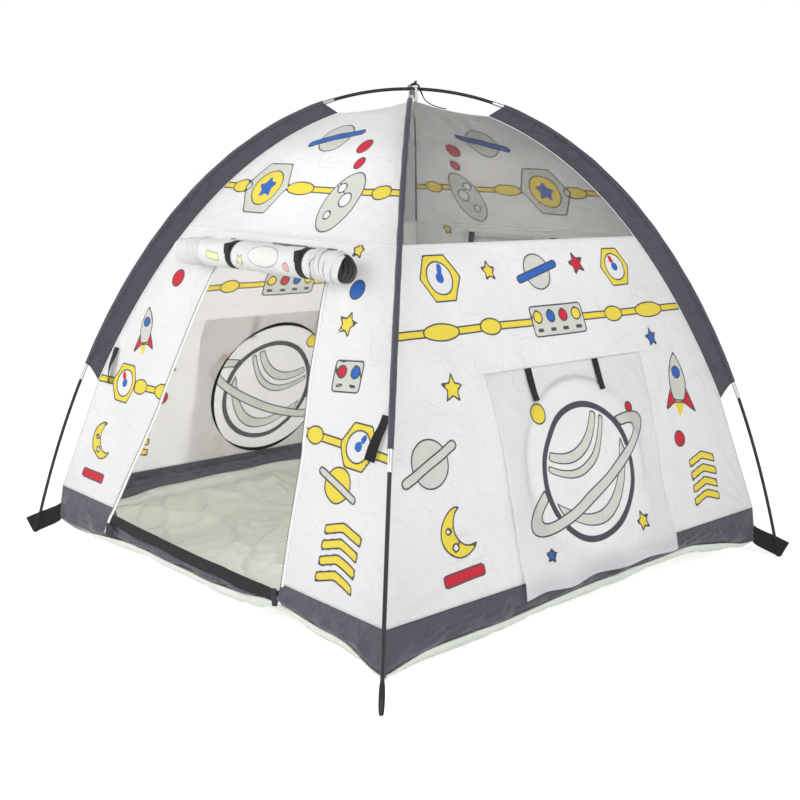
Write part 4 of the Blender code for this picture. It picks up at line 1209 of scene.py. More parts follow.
def tray():
    """Places on the tray, of which out is the share of the way from its middle to its rim."""
    u, v = np.meshgrid(*[np.linspace(-1, 1, TRAY_CELLS)] * 2)
    out = np.maximum(np.abs(u), np.abs(v))
    reach = FLOOR_SIDE / 2 - 0.004
    x, y = u * reach, -v * reach
    rim = np.where(
        np.abs(v) >= np.abs(u),
        np.where(v > 0, hem_height(x, FRONT_HEM), hem_height(-x, FRONT_HEM)),
        np.where(u > 0, hem_height(y, SIDE_HEM), hem_height(-y, SIDE_HEM[::-1])),
    )
    drawn_in = reach + (wall_d(run_at(rim)) - 0.003 - reach) * out**6
    x, y = x / reach * drawn_in, y / reach * drawn_in
    slope = np.clip((out - SLOPE_SHARE) / (LIP_SHARE - SLOPE_SHARE), 0, 1) ** 1.35
    lip = smooth_step(out, LIP_SHARE, 1.0)
    high = np.minimum(LIP_HEIGHT, rim * 0.5)
    z = TRAY_LIFT + (rim - high) * slope + high * lip
    ruckle = np.zeros(x.shape)
    for size, height, seed in RUCKLES:
        wave = ripples(x, y, size, seed, 12)
        ruckle += height * np.exp(-(wave / 0.22) ** 2) + height * 0.35 * (1 + wave / 3)
    z = z + np.maximum(ruckle, 0) * (1 - smooth_step(out, 0.93, 1.0)) * 0.9
    return x, y, z


x, y, z = tray()
points = np.stack((x, y, z), axis=-1)
groundsheet = sheet_grid("groundsheet_tray", x, -y, points, TRAY_SHEET, thickness=0.0005)
finish_sheet(groundsheet, "tent", "groundsheet", "groundsheet")
print(f"groundsheet rises to {z.max() * 1000:.0f} mm at its rim")

# %% [markdown]
# ## Straps, bindings and piping
# Webbing, binding tape and ribbon are all a flat section with rounded edges, carried along a path. The
# path brings its own frame: which way is across the tape, and which way is its face. Piping is a round
# section on the same kind of path.

# %% Tape and tube helpers
TAPE_CORNERS = 14
NUDGE = 0.001
STITCH_SHARES = np.array((-0.5, -0.3, 0.3, 0.5))
STITCH_RISE = np.array((-0.3, 0.7, 0.7, -0.3))


def unit(vectors):
    """The vectors made 1 long."""
    return vectors / np.maximum(np.linalg.norm(vectors, axis=-1, keepdims=True), 1e-12)


def along_path(path, closed=False):
    """Directions of a path at its points."""
    if closed:
        return unit(np.roll(path, -1, axis=0) - np.roll(path, 1, axis=0))
    return unit(np.gradient(path, axis=0))


def end_caps(rows, columns):
    """One face over the first row of a grid, and one over its last row."""
    return [np.arange(columns)[None, :], (rows * columns - 1 - np.arange(columns))[None, :]]


def carried(name, path, across, face, section, material, closed=False):
    """A closed section, (rows or 1, corners, 2) in (across, face), carried along a path."""
    across, face = (np.broadcast_to(way, path.shape) for way in (across, face))
    section = np.broadcast_to(section, (len(path), *np.shape(section)[-2:]))
    points = path[:, None] + section[..., :1] * across[:, None] + section[..., 1:] * face[:, None]
    blocks = [grid_faces(len(path), section.shape[1], closed, True)]
    if not closed:
        blocks += end_caps(len(path), section.shape[1])
    around = np.cumsum(np.hypot(*(np.roll(section[0], -1, axis=0) - section[0]).T))
    uv = np.stack(np.broadcast_arrays(around[None, :], run_along(path)[:, None]), axis=-1)
    return mesh_object(name, points, blocks, uv, material, closed=True)[0]


def flat_section(width, thick):
    """A flat section with rounded edges: a circle squared up across its width."""
    a = (np.arange(TAPE_CORNERS) + 0.5) * 2 * math.pi / TAPE_CORNERS
    c, s = np.cos(a), np.sin(a)
    across = np.sign(c) * np.abs(c) ** 0.4 * width / 2
    return np.stack((across, np.sign(s) * np.abs(s) ** 0.6 * thick / 2), axis=-1)


def tube(name, path, radius, material, corners, reference, closed=False):
    """A round section along a path, whose radius may be a number or one for each point."""
    way = along_path(path, closed)
    across = unit(np.cross(way, reference))
    a = np.arange(corners) * 2 * math.pi / corners
    radii = np.broadcast_to(radius, (len(path),))[:, None, None]
    section = radii * np.stack((np.cos(a), np.sin(a)), axis=-1)
    return carried(name, path, across, np.cross(across, way), section, material, closed)


def wall_frame(x, run, turn, lift=0.0):
    """Points on a wall with the wall's own directions there: along x, down the slope, and out."""
    middle = on_wall(x, run, lift, turn)
    sideways = unit(on_wall(np.asarray(x) + NUDGE, run, lift, turn) - middle)
    outward = unit(on_wall(x, run, lift + NUDGE, turn) - middle)
    return middle, sideways, unit(np.cross(outward, sideways)), outward


def sampled(at, run, line):
    """Values of a line, read at the given lengths along its path."""
    return np.stack([np.interp(at, run, line[:, i]) for i in range(3)], axis=-1)


def smooth_curve(points, count):
    """A Catmull-Rom curve through the points, evenly spaced along its length."""
    points = np.asarray(points, float)
    ends = np.vstack((2 * points[0] - points[1], points, 2 * points[-1] - points[-2]))
    t = np.linspace(0, len(points) - 1, 40 * len(points))
    k = np.minimum(t.astype(int), len(points) - 2)
    f = (t - k)[:, None]
    a, b, c, d = (ends[k + i] for i in range(4))
    square, cube = 2 * a - 5 * b + 4 * c - d, 3 * b - a - 3 * c + d
    fine = 0.5 * (2 * b + (c - a) * f + square * f**2 + cube * f**3)
    run = run_along(fine)
    return sampled(np.linspace(0, run[-1], count), run, fine)


def stitches(name, path, across, outward, material=THREAD, pitch=0.0042, length=0.0028, size=0.0005):
    """A row of stitches: each is a short bar on the path that dips into the cloth at both ends."""
    run = run_along(path)
    centres = np.arange(pitch, run[-1] - pitch / 2, pitch)
    at = centres[:, None] + STITCH_SHARES[None, :] * length
    lines = (np.broadcast_to(line, path.shape) for line in (path, across, outward))
    place, wide, high = (sampled(at, run, line) for line in lines)
    place = place + high * (size * STITCH_RISE[None, :, None])
    ring = np.array(((1, 0), (0, 1), (-1, 0), (0, -1))) * size * 0.6
    points = place[:, :, None] + ring[:, :1] * wide[:, :, None] + ring[:, 1:] * high[:, :, None]
    first = (np.arange(len(centres)) * 16)[:, None, None]
    bar = (grid_faces(4, 4, False, True), *end_caps(4, 4))
    blocks = [(first + block[None]).reshape(-1, 4) for block in bar]
    return mesh_object(name, points, blocks, np.zeros((points.size // 3, 2)), material, closed=True)[0]


print("tape and tube helpers ready")

# %% [markdown]
# ## Edges of the openings and seams
# White tape binds the doorways' jambs, and runs down over the band to its foot. Black tape binds the
# ports. A narrow tape covers the level seam, and fine piping closes the corners where no sleeve does.

# %% Jamb bindings
BINDING_WIDTH, BINDING_THICK = 0.0105, 0.0026
JAMB_FOOT_LEFT, JAMB_FOOT_RIGHT = (-0.366, 0.060), (0.304, 0.084)
JAMB_STITCHES = {"pitch": 0.0066, "length": 0.0056, "size": 0.0013}


def jamb_binding(name, turn, side):
    """From the door's head down the jamb, and on over the band in a straight line to its foot."""
    (foot_x, foot_z), jamb = (JAMB_FOOT_LEFT, LEFT_JAMB) if side < 0 else (JAMB_FOOT_RIGHT, RIGHT_JAMB)
    z = np.linspace(DOOR_TOP + 0.004, foot_z, 120)
    jamb_x = np.interp(z, (foot_z, *JAMB_HEIGHTS), (foot_x, *jamb))
    lift = 0.0004 + 0.0055 * smooth_step(-z, -BAND_TOP, -BAND_TOP + 0.03)
    sway = 0.0012 * ripples(z, 0 * z, 0.13, 7 + side) * smooth_step(z, BAND_TOP, BAND_TOP + 0.1)
    middle, sideways, _, outward = wall_frame(jamb_x + sway, run_at(z), turn, lift)
    middle = middle + sideways * side * 0.003
    across = unit(np.cross(along_path(middle), outward))
    tape = carried(name, middle, across, outward, flat_section(BINDING_WIDTH, BINDING_THICK), WHITE_BINDING)
    line = middle + across * 0.0032 + outward * BINDING_THICK / 2
    thread = stitches(f"{name}_stitches", line, across, outward, **JAMB_STITCHES)
    for piece in (tape, thread):
        finish(piece, "tent", "white_cloth")


for side, turn in DOOR_SIDES:
    jamb_binding(f"{side}_jamb_binding_left", turn, -1)
    jamb_binding(f"{side}_jamb_binding_right", turn, 1)
print("four jamb bindings")

# %% Port bindings, seam tapes and piping
PORT_BINDING, SEAM_TAPE, PIPING_RADIUS = (0.010, 0.0026), (0.0075, 0.0021), 0.0012
PIPING_TOP, PIPING_FOOT = CANOPY_TOP - 0.002, 0.040


def port_binding(name, turn):
    """Tape round the port, flat on the wall."""
    a = np.linspace(0, 2 * math.pi, 120, endpoint=False)
    x, run = PORT_RADIUS * np.cos(a), PORT_RUN - PORT_RADIUS * np.sin(a)
    middle, sideways, downhill, outward = wall_frame(x, run, turn, -0.0004)
    across = sideways * np.cos(a)[:, None] - downhill * np.sin(a)[:, None]
    tape = carried(name, middle, across, outward, flat_section(*PORT_BINDING), BLACK_BINDING, closed=True)
    finish(tape, "tent", "black_webbing")


def seam_tape(name, turn):
    """Tape over the level seam with a row of stitches on its middle."""
    half = float(wall_d(SEAM_RUN)) - 0.001
    x = np.linspace(-half, half, 80)
    middle, _, downhill, outward = wall_frame(x, np.full(x.shape, SEAM_RUN), turn)
    tape = carried(name, middle, downhill, outward, flat_section(*SEAM_TAPE), WHITE_BINDING)
    line = middle + outward * SEAM_TAPE[1] / 2
    thread = stitches(f"{name}_stitches", line, downhill, outward, WHITE_BINDING)
    for piece in (tape, thread):
        finish(piece, "tent", "white_cloth")


def corner_seam(z):
    """How far out from the axis the corner seam is at a height."""
    return np.interp(-z, -WALL_Z, SEAM[:, 0])


def in_corner_plane(angle, out, high, aside=0.0):
    """Points in a corner's upright plane: so far out from the axis, so high, and off to its side."""
    x = out * math.cos(angle) + aside * math.sin(angle)
    y = out * math.sin(angle) - aside * math.cos(angle)
    return np.stack((x, y, high), axis=-1)


CORNER_ANGLES = {
    "front_right": -math.pi / 4, "back_right": math.pi / 4,
    "back_left": 3 * math.pi / 4, "front_left": -3 * math.pi / 4,
}
for side, turn in PORT_SIDES:
    port_binding(f"{side}_port_binding", turn)
for side, turn in (("front", FRONT), ("right", RIGHT), ("back", BACK), ("left", LEFT)):
    seam_tape(f"{side}_level_seam", turn)
sleeve_top, sleeve_foot = float(beside[0, 1]), float(beside[-1, 1])
for corner, angle in CORNER_ANGLES.items():
    square = (math.sin(angle), -math.cos(angle), 0)
    for part, ends in (("upper", (PIPING_TOP, sleeve_top)), ("lower", (sleeve_foot + 0.01, PIPING_FOOT))):
        z = np.linspace(*ends, 60)
        path = in_corner_plane(angle, corner_seam(z), z)
        piping = tube(f"{corner}_{part}_piping", path, PIPING_RADIUS, WHITE_BINDING, 8, square)
        finish(piping, "tent", "white_cloth")
print("port bindings, seam tapes and corner piping")

# %% [markdown]
# The sill between the jambs is bound in black tape, and two small squares of loop tape sit at the jambs'
# feet, where the door's corners are pressed shut.

# %% Tapes of the sill
LOOP_THICK = 0.0018
SILL_TAPE, SILL_TAPE_DROP, SILL_TAPE_LIFT = (0.026, 0.002), 0.0110, 0.0048


def loop_patch(name, x, z, width, height, turn, degrees, lift=0.009):
    """A flat patch with its own lean in the wall's plane."""
    a = math.radians(degrees)
    middle, sideways, downhill, outward = wall_frame(np.array([x]), run_at(np.array([z])), turn, lift)
    long_way = downhill * math.cos(a) + sideways * math.sin(a)
    path = middle + long_way * (np.linspace(-0.5, 0.5, 8) * height)[:, None]
    across = unit(np.cross(long_way, outward))
    patch = carried(name, path, across, outward, flat_section(width, LOOP_THICK), LOOP_TAPE)
    finish(patch, "tent", "black_webbing")


def sill_strip(name, turn):
    """Tape along the sill that wavers, and leans in and out, as hand-fed tape does."""
    x = np.linspace(LEFT_JAMB[0] + 0.002, RIGHT_JAMB[0] - 0.002, 110)
    wave = 0.0016 * ripples(x, 0 * x, 0.12, 19)
    z = BAND_TOP - sill_drop(x) - SILL_TAPE_DROP + wave
    middle, _, downhill, outward = wall_frame(x, run_at(z), turn, SILL_TAPE_LIFT)
    lean = 0.1 * ripples(x, 0 * x, 0.16, 29)[:, None]
    across = unit(downhill + lean * outward)
    tape = carried(name, middle, across, outward, flat_section(*SILL_TAPE), BLACK_BINDING)
    finish(tape, "tent", "black_webbing")


for side, turn in DOOR_SIDES:
    sill_strip(f"{side}_sill_tape", turn)
    loop_patch(f"{side}_left_loop_patch", -0.345, 0.071, 0.034, 0.026, turn, 8)
    loop_patch(f"{side}_right_loop_patch", 0.292, 0.094, 0.017, 0.034, turn, -14, 0.008)
print("sill tapes and loop patches")

# %% [markdown]
# ## Poles
# The tubes shine softly, and bright steel ferrules join the sections. The tube is one round section
# along the whole bend, and each ferrule is a slightly wider one with rolled ends.

# %% Poles, ferrules and tips
SECTIONS = 7
SECTION = 2 * HALF_POLE / SECTIONS
FERRULE_HALF, FERRULE_RADIUS = 0.032, 0.00475
TIP_LENGTH, TIP_GAP = 0.009, 0.001
FERRULE_ENDS = np.array((-1.0, -0.995, -0.97, -0.9, 0.9, 0.97, 0.995, 1.0))
FERRULE_ROLL = np.array((0.90, 0.97, 1.04, 1.0, 1.0, 1.04, 0.97, 0.90))
TIP_SHARES = np.array((0, 0.02, 0.1, 0.5, 0.62, 0.75, 0.87, 0.95, 1.0))
TIP_RADII = np.array((0.9, 1.0, 1.04, 1.04, 1.0, 0.95, 0.84, 0.72, 0.6))


def bent_tube(name, s, radius, angle, drop, material, corners):
    """A tube along a stretch of a pole's bend."""
    path = in_corner_plane(angle, *np.moveaxis(pole_point(s, drop), -1, 0))
    return tube(name, path, radius, material, corners, (math.sin(angle), -math.cos(angle), 0))


def pole(label, angle, drop):
    """The tube, and a ferrule over each joint, with a rolled rim at both ends."""
    end = HALF_POLE - TIP_LENGTH - TIP_GAP
    shaft = bent_tube(f"{label}_tube", np.linspace(-end, end, 300), POLE_RADIUS, angle, drop, TUBE, 16)
    finish(shaft, "tent", "fibreglass", *(f"{label}_section_{k}" for k in range(1, SECTIONS + 1)))
    shape = np.concatenate((FERRULE_ENDS[:4], np.linspace(-0.8, 0.8, 15), FERRULE_ENDS[4:]))
    for k in range(1, SECTIONS):
        middle = (k - SECTIONS / 2) * SECTION
        s = shape * FERRULE_HALF + middle
        radius = np.interp(s, FERRULE_ENDS * FERRULE_HALF + middle, FERRULE_ROLL) * FERRULE_RADIUS
        ferrule = bent_tube(f"{label}_ferrule_{k}", s, radius, angle, drop, STEEL, 20)
        finish(ferrule, "tent", "fibreglass")


def tip(corner, angle):
    """Shoulder, straight side and rounded nose, which stops where the CAD's nose rests on the ground."""
    end = HALF_POLE - POLE_RADIUS * TIP_RADII[-1] * math.tan(FOOT_LEAN)
    s = TIP_SHARES * TIP_LENGTH + (end - TIP_LENGTH)
    made = bent_tube(f"{corner}_tip", s, TIP_RADII * POLE_RADIUS, angle, 0.0, PLASTIC, 20)
    finish(made, "tent", "black_plastic", f"{corner}_pole_tip")


pole("upper_pole", CORNER_ANGLES["back_right"], 0.0)
pole("lower_pole", CORNER_ANGLES["front_right"], LOWER_DROP)
for corner, angle in CORNER_ANGLES.items():
    tip(corner, angle)
for name in ("upper_pole_elastic_cord", "lower_pole_elastic_cord"):
    NODES[name].data.materials.clear()
    NODES[name].data.materials.append(ELASTIC)
print("two poles with six ferrules each, four tips")

# %% [markdown]
# ## Sleeves
# Each sleeve is one strip of dark cloth folded over the pole and sewn into the corner seam, so it is a
# fin with a round edge. Its profile starts at the seam, runs out beside the fin's middle, round the pole
# and back. The strip is cut on a slant at its ends, and it puckers where the pole's bend gathers it.

# %% Sleeves
SLEEVE_ROWS, SLEEVE_BORE = 150, 0.0062
SLEEVE_THICK, SEAM_GAP = 0.0006, 0.0005
BEND_START = 0.35


def sleeve(corner, angle):
    """Columns go once round the folded strip: side of the fin, the pole's tunnel, the other side."""
    fin = np.linspace(1, 0, 12, endpoint=False)[None, :]
    along = np.linspace(0, 1, SLEEVE_ROWS)[:, None]
    a = np.linspace(BEND_START, 2 * math.pi - BEND_START, 13)[None, :]
    width = sleeve_width(SEAM_START + (SEAM_END - SEAM_START) * along) - 0.001
    radius = SLEEVE_BORE * (1 + 0.06 * ripples(along * 0.9, 0 * along, 0.07, 3))
    start_n, start_b = radius * math.cos(BEND_START), radius * math.sin(BEND_START)
    side_n = start_n + (width - start_n) * fin
    side_b = SEAM_GAP + (start_b - SEAM_GAP) * (1 - fin) ** 1.6
    n = np.concatenate((side_n, radius * np.cos(a), side_n[:, ::-1]), axis=1)
    b = np.concatenate((side_b, radius * np.sin(a), -side_b[:, ::-1]), axis=1)
    seamward = np.clip(n / width, 0, 1)
    start = SLEEVE_START + (SEAM_START - SLEEVE_START) * seamward
    end = SLEEVE_END + (SEAM_END - SLEEVE_END) * seamward**1.3
    s = start + (end - start) * along
    loose = np.sin(math.pi * seamward) * smooth_step(along, 0, 0.05) * smooth_step(1 - along, 0, 0.05)
    pucker = 0.0022 * ripples(s, n * 0.6, 0.075, 13) + 0.0010 * ripples(s + n * 0.8, n, 0.024, 17)
    b = b + pucker * loose
    flat = pole_point(s) + in_from_pole(s) * n[..., None]
    points = in_corner_plane(angle, flat[..., 0], flat[..., 1], b)
    steps = np.hypot(np.diff(n, axis=1), np.diff(b, axis=1))
    around = np.concatenate((np.zeros((SLEEVE_ROWS, 1)), np.cumsum(steps, axis=1)), axis=1)
    name = f"{corner}_sleeve_cloth"
    piece = sheet_grid(name, around, s, points, DARK_CLOTH, DARK_LINING, thickness=SLEEVE_THICK)
    finish_sheet(piece, "tent", "grey_cloth", f"{corner}_sleeve")


for corner, angle in CORNER_ANGLES.items():
    sleeve(corner, angle)

# %% [markdown]
# ## Port flaps
# Each port has a cover of the same printed cloth, sewn above it and hanging free. It stands off the wall
# a little more towards its hem, where it falls in shallow folds, and its loose lower corners flare. Its
# hem and sides are turned over and stitched.

# %% Flaps
PLANET_MIDDLE, PLANET_TILT = (0.004, 0.215), 24
PLANET_RADIUS, PLANET_FACE, STRIPE_REACH = 0.148, 0.1345, 0.128
FLAP_ROWS, FLAP_COLUMNS = 74, 88


def flap_print(x, y):
    """A large ringed planet with two small moons and stars, on the flap's own places."""
    ink = Print(x, y)
    ink.disc(PLANET_MIDDLE, PLANET_RADIUS, "dark", line=False)
    ink.disc(PLANET_MIDDLE, PLANET_FACE, line=False)
    u, v = spun(x, y, PLANET_MIDDLE, PLANET_TILT)
    for height, half in ((0.078, 0.012), (0.040, 0.009), (-0.072, 0.014)):
        stripe = np.abs(v - height - 0.10 * (u / 0.1335) ** 2 + 0.03) - half
        ink.paint(np.maximum(stripe, np.hypot(u, v) - STRIPE_REACH), "pale")
    outer, inner = (oval(u, v, (0, 0), *half) for half in ((0.222, 0.060), (0.186, 0.036)))
    ring = np.maximum(outer, -inner)
    hidden = np.maximum(np.hypot(u, v) - PLANET_RADIUS, -v)
    ink.paint(np.maximum(ring, -hidden), "pale", over=True)
    ink.disc((-0.125, 0.352), 0.021, "yellow")
    ink.star((0.150, 0.082), 0.024, "yellow", 14)
    ink.star((-0.160, 0.070), 0.017, "blue", -10)
    ink.disc((0.172, 0.330), 0.012, "red")
    return ink


def flap_lift(down, across):
    """The CAD flap's own stand-off, with finer folds that grow towards the hem."""
    lift = 0.0016 + 0.007 * down + 0.010 * np.sin(2 * math.pi * across) ** 2 * down**2
    fine = 0.0016 * ripples(across * 0.5, down * 0.25, 0.09, 41) * smooth_step(down, 0, 0.5)
    corner = 0.010 * smooth_step(np.abs(across - 0.5), 0.36, 0.5) * smooth_step(down, 0.72, 1.0)
    hem = 0.0024 * smooth_step(down, 0.7, 1.0)
    return lift + np.maximum(fine, -0.001) + corner + hem


def edge_stitches(name, body, points, above):
    """White stitches by the sides and the hem of a hanging sheet. The points above give its face."""
    outward, sideways = unit(above - points), unit(np.gradient(points, axis=1))
    everywhere = slice(None)
    for edge, at in (("left", (everywhere, 2)), ("right", (everywhere, -3)), ("hem", (-3, everywhere))):
        row = stitches(f"{name}_{edge}_stitches", points[at], sideways[at], outward[at], WHITE_BINDING)
        finish(row, body, "white_cloth")


def port_flap(side, turn):
    """The flap's sheet, a little narrower half way down and with a wavy hem, and its stitches."""
    down, across = shares(FLAP_ROWS, FLAP_COLUMNS)
    x = -FLAP_NEAR + (FLAP_NEAR + FLAP_FAR) * across - 0.006 * np.sin(math.pi * down) * (2 * across - 1)
    run = FLAP_TOP_RUN + (FLAP_FOOT_RUN - FLAP_TOP_RUN) * down
    run = run - 0.006 * smooth_step(down, 0.9, 1.0) * np.sin(3 * math.pi * across + 0.5) ** 2
    x, run = np.broadcast_arrays(x, run)
    lift = flap_lift(down, across)
    points, name = on_wall(x, run, lift, turn), f"{side}_flap_cloth"
    ink = flap_print(x, FLAP_FOOT_RUN - run)
    piece = sheet_grid(name, x, run, points, PRINTED_CLOTH, CLOTH_BACK, ink=ink)
    finish_sheet(piece, f"{side}_flap", "white_cloth", f"{side}_port_flap")
    edge_stitches(name, f"{side}_flap", points, on_wall(x, run, lift + NUDGE, turn))


for side, turn in PORT_SIDES:
    port_flap(side, turn)

# %% [markdown]
# ## Webbing ties
# A tie is a short length of 20 mm webbing, sewn at its top. It has a turned-over end and a boxed row of
# stitches where it is sewn on, and it curls a little because webbing keeps the bend it was packed in.

# %% Flap ties and corner straps
TIE_WIDTH, TIE_THICK = 0.020, 0.0013


def tape_sections(width, thick, count):
    """Flat sections along a path, whose width and thickness may be numbers or one for each point."""
    sizes = [np.broadcast_to(size, (count,)) for size in (width, thick)]
    return flat_section(1.0, 1.0)[None] * np.stack(sizes, axis=-1)[:, None]


def webbing_strip(name, path, across, face, width):
    """A strap whose far end is folded back on itself, so the last seventh is twice as thick."""
    thick = TIE_THICK * (1 + smooth_step(np.linspace(0, 1, len(path)), 0.86, 0.88))
    return carried(name, path, across, face, tape_sections(width, thick, len(path)), WEBBING)


def hanging_tie(name, body, turn, top, size, lifts, lean, twist):
    """A strap down the wall from its top, (x, run), with a lift for each share of its length."""
    (x, run), (length, width) = top, size
    share = np.linspace(0, 1, 26)
    lift = np.interp(share, np.linspace(0, 1, len(lifts)), lifts)
    middle, _, _, outward = wall_frame(x + lean * share**2, run + length * share, turn, lift)
    way = along_path(middle)
    a = (twist * smooth_step(share, 0.1, 1.0))[:, None]
    face = unit(np.cross(np.cross(way, outward), way))
    across = unit(np.cross(way, face))
    across, face = across * np.cos(a) + face * np.sin(a), face * np.cos(a) - across * np.sin(a)
    strap = webbing_strip(name, middle, across, face, width)
    seam = middle[1:3].mean(axis=0) + face[1] * TIE_THICK * 0.55
    line = seam + across[1] * width * 0.42 * np.linspace(-1, 1, 12)[:, None]
    sewn = stitches(f"{name}_stitches", line, way[1], face[1])
    finish(strap, body, "black_webbing", body)
    finish(sewn, body, "black_webbing")


FLAP_TIE, CORNER_STRAP = (0.069, TIE_WIDTH), (0.088, 0.021)
FLAP_TIE_RUN = FLAP_TOP_RUN + 0.0015
tie_share = np.array((0, 0.3, 0.6, 1))
for side, turn in PORT_SIDES:
    for place, x in (("near", -0.125), ("far", 0.093)):
        down = 0.070 / (FLAP_FOOT_RUN - FLAP_TOP_RUN) * tie_share
        lifts = flap_lift(down, (x + FLAP_NEAR) / (FLAP_NEAR + FLAP_FAR)) + 0.0024 + 0.0020 * tie_share**2
        body = f"{side}_flap_tie_{place}"
        hanging_tie(f"{body}_strap", body, turn, (x, FLAP_TIE_RUN), FLAP_TIE, lifts, 0.002, 0.12)

STRAP_TOP_RUN = float(run_at(0.475))
STRAP_X = float(wall_d(STRAP_TOP_RUN)) - 0.006 - CORNER_STRAP[1] / 2
STRAP_LIFTS = (0.0016, 0.0030, 0.0075, 0.0080, 0.0050)
for side, turn in DOOR_SIDES:
    for edge, way in (("left", -1), ("right", 1)):
        way = way if side == "front" else -way
        body, top = f"{side}_{edge}_strap", (way * STRAP_X, STRAP_TOP_RUN)
        hanging_tie(f"{body}_webbing", body, turn, top, CORNER_STRAP, STRAP_LIFTS, -way * 0.010, way * 0.55)
print("flap ties and corner straps")

# %% [markdown]
# ## Back door
# The back door hangs shut outside its doorway. It is seen from inside through the front, so its inner
# side matters as much as its outer one. Two loose ties hang inside from the seam over it.

# %% Back door and its ties
DOOR_RUN = float(run_at(0.757))
BACK_DOOR_FOOT_RUN = float(run_at(0.078))
DOOR_LAP, DOOR_ROWS, DOOR_COLUMNS = 0.018, 112, 90


def door_print(x, y):
    """Motifs down the middle of the door, with y counted up from its foot."""
    ink = Print(x, y)
    planet(ink, (0.02, 0.50), 0.050, "yellow", "pale", 16)
    rocket(ink, (-0.10, 0.26), 0.15, 14)
    orbit_belt(ink, 0.20, -0.20, 0.24, ((0.04, 0.07),))
    moon(ink, (0.13, 0.36), 0.040)
    chevrons(ink, (0.02, 0.09), 0.11, 3, "blue")
    for place in ((-0.12, 0.56), (0.20, 0.13)):
        ink.star(place, 0.02, "yellow", place[0] * 90)
    for place in ((0.10, 0.60), (-0.16, 0.44)):
        ink.star(place, 0.014, "yellow", place[0] * 90)
    return ink


def back_door():
    """The door's sheet, which lies against the wall at its seam and swells a little below it."""
    down, across = shares(DOOR_ROWS, DOOR_COLUMNS)
    run = DOOR_RUN + (BACK_DOOR_FOOT_RUN - DOOR_RUN) * down
    z = wall_z(run)
    x = left_jamb(z) - DOOR_LAP + (right_jamb(z) - left_jamb(z) + 2 * DOOR_LAP) * across
    run = np.broadcast_to(run, x.shape)
    waves = 0.0022 * (1 + ripples(x, run * 0.4, 0.16, 201)) * smooth_step(down, 0, 0.4)
    lift = 0.0019 + 0.004 * down**2 + waves
    points = on_wall(x, run, lift, BACK)
    ink = door_print(x, BACK_DOOR_FOOT_RUN - run)
    piece = sheet_grid("back_door_cloth", x, run, points, PRINTED_CLOTH, CLOTH_BACK, ink=ink)
    finish_sheet(piece, "back_door", "white_cloth", "back_door")
    edge_stitches("back_door", "back_door", points, on_wall(x, run, lift + NUDGE, BACK))


back_door()
share = np.linspace(0, 1, 24)[:, None]
for side, x in (("left", -0.123), ("right", 0.167)):
    path = on_wall(x, DOOR_RUN, -0.0022, BACK) + np.array((0, -0.0016, -0.066)) * share
    path = path - np.array((0, 0.0018, 0)) * np.sin(2.5 * share) ** 2
    strap = webbing_strip(f"back_door_tie_{side}_strap", path, (1, 0, 0), (0, -1, 0), TIE_WIDTH)
    finish(strap, f"back_door_tie_{side}", "black_webbing", f"back_door_tie_{side}")
print("back door and its ties")

# %% [markdown]
# ## Front door, rolled up
# The front door is the same sheet as the back one, wound up and tied. The roll is a spiral: the sheet
# comes down from its seam behind the roll and winds outwards round and up to its wide hem in the core.
# The door is wider at its foot, so each turn further in reaches further out, in steps at the roll's ends.
# The ties squeeze it, and the cloth bulges between them. Its outside is the cloth's back, where the print
# shows through faintly; its white is toned grey there, a painted shade. Its inside is painted dark grey, a
# painted shade, because a tight roll lets in less light than the renderer's few bounces would leave there.

# %% Roll
ROLL_RADIUS, ROLL_TURNS = 0.0305, 4.6
ROLL_CENTRE = np.array((-0.4410, 0.7285))
DOOR_SEAM = on_wall(0, DOOR_RUN, 0.0003, FRONT)
ROLL_TIE_X = (-0.076, 0.175)
ROLL_TIE_WIDTH = 0.021
ROLL_ROWS, ROLL_COLUMNS = 150, 190
to_seam = DOOR_SEAM[1:] - ROLL_CENTRE
ROLL_START = math.atan2(to_seam[1], to_seam[0]) - math.acos(ROLL_RADIUS / float(np.hypot(*to_seam)))


def squeeze(x):
    """Share of the radius that is left at x: the ties pull the roll in, and it swells between."""
    pinch = sum(np.exp(-((x - tie) / 0.018) ** 2) for tie in ROLL_TIE_X)
    return 1.06 - 0.10 * pinch + 0.030 * ripples(x, 0 * x, 0.085, 301) + 0.012 * ripples(x, 0 * x, 0.03, 302)


def round_roll(x, radius, angle):
    """Points along the roll and round its middle line."""
    y = ROLL_CENTRE[0] + radius * np.cos(angle)
    z = ROLL_CENTRE[1] + radius * np.sin(angle)
    return np.stack(np.broadcast_arrays(x, y, z), axis=-1)


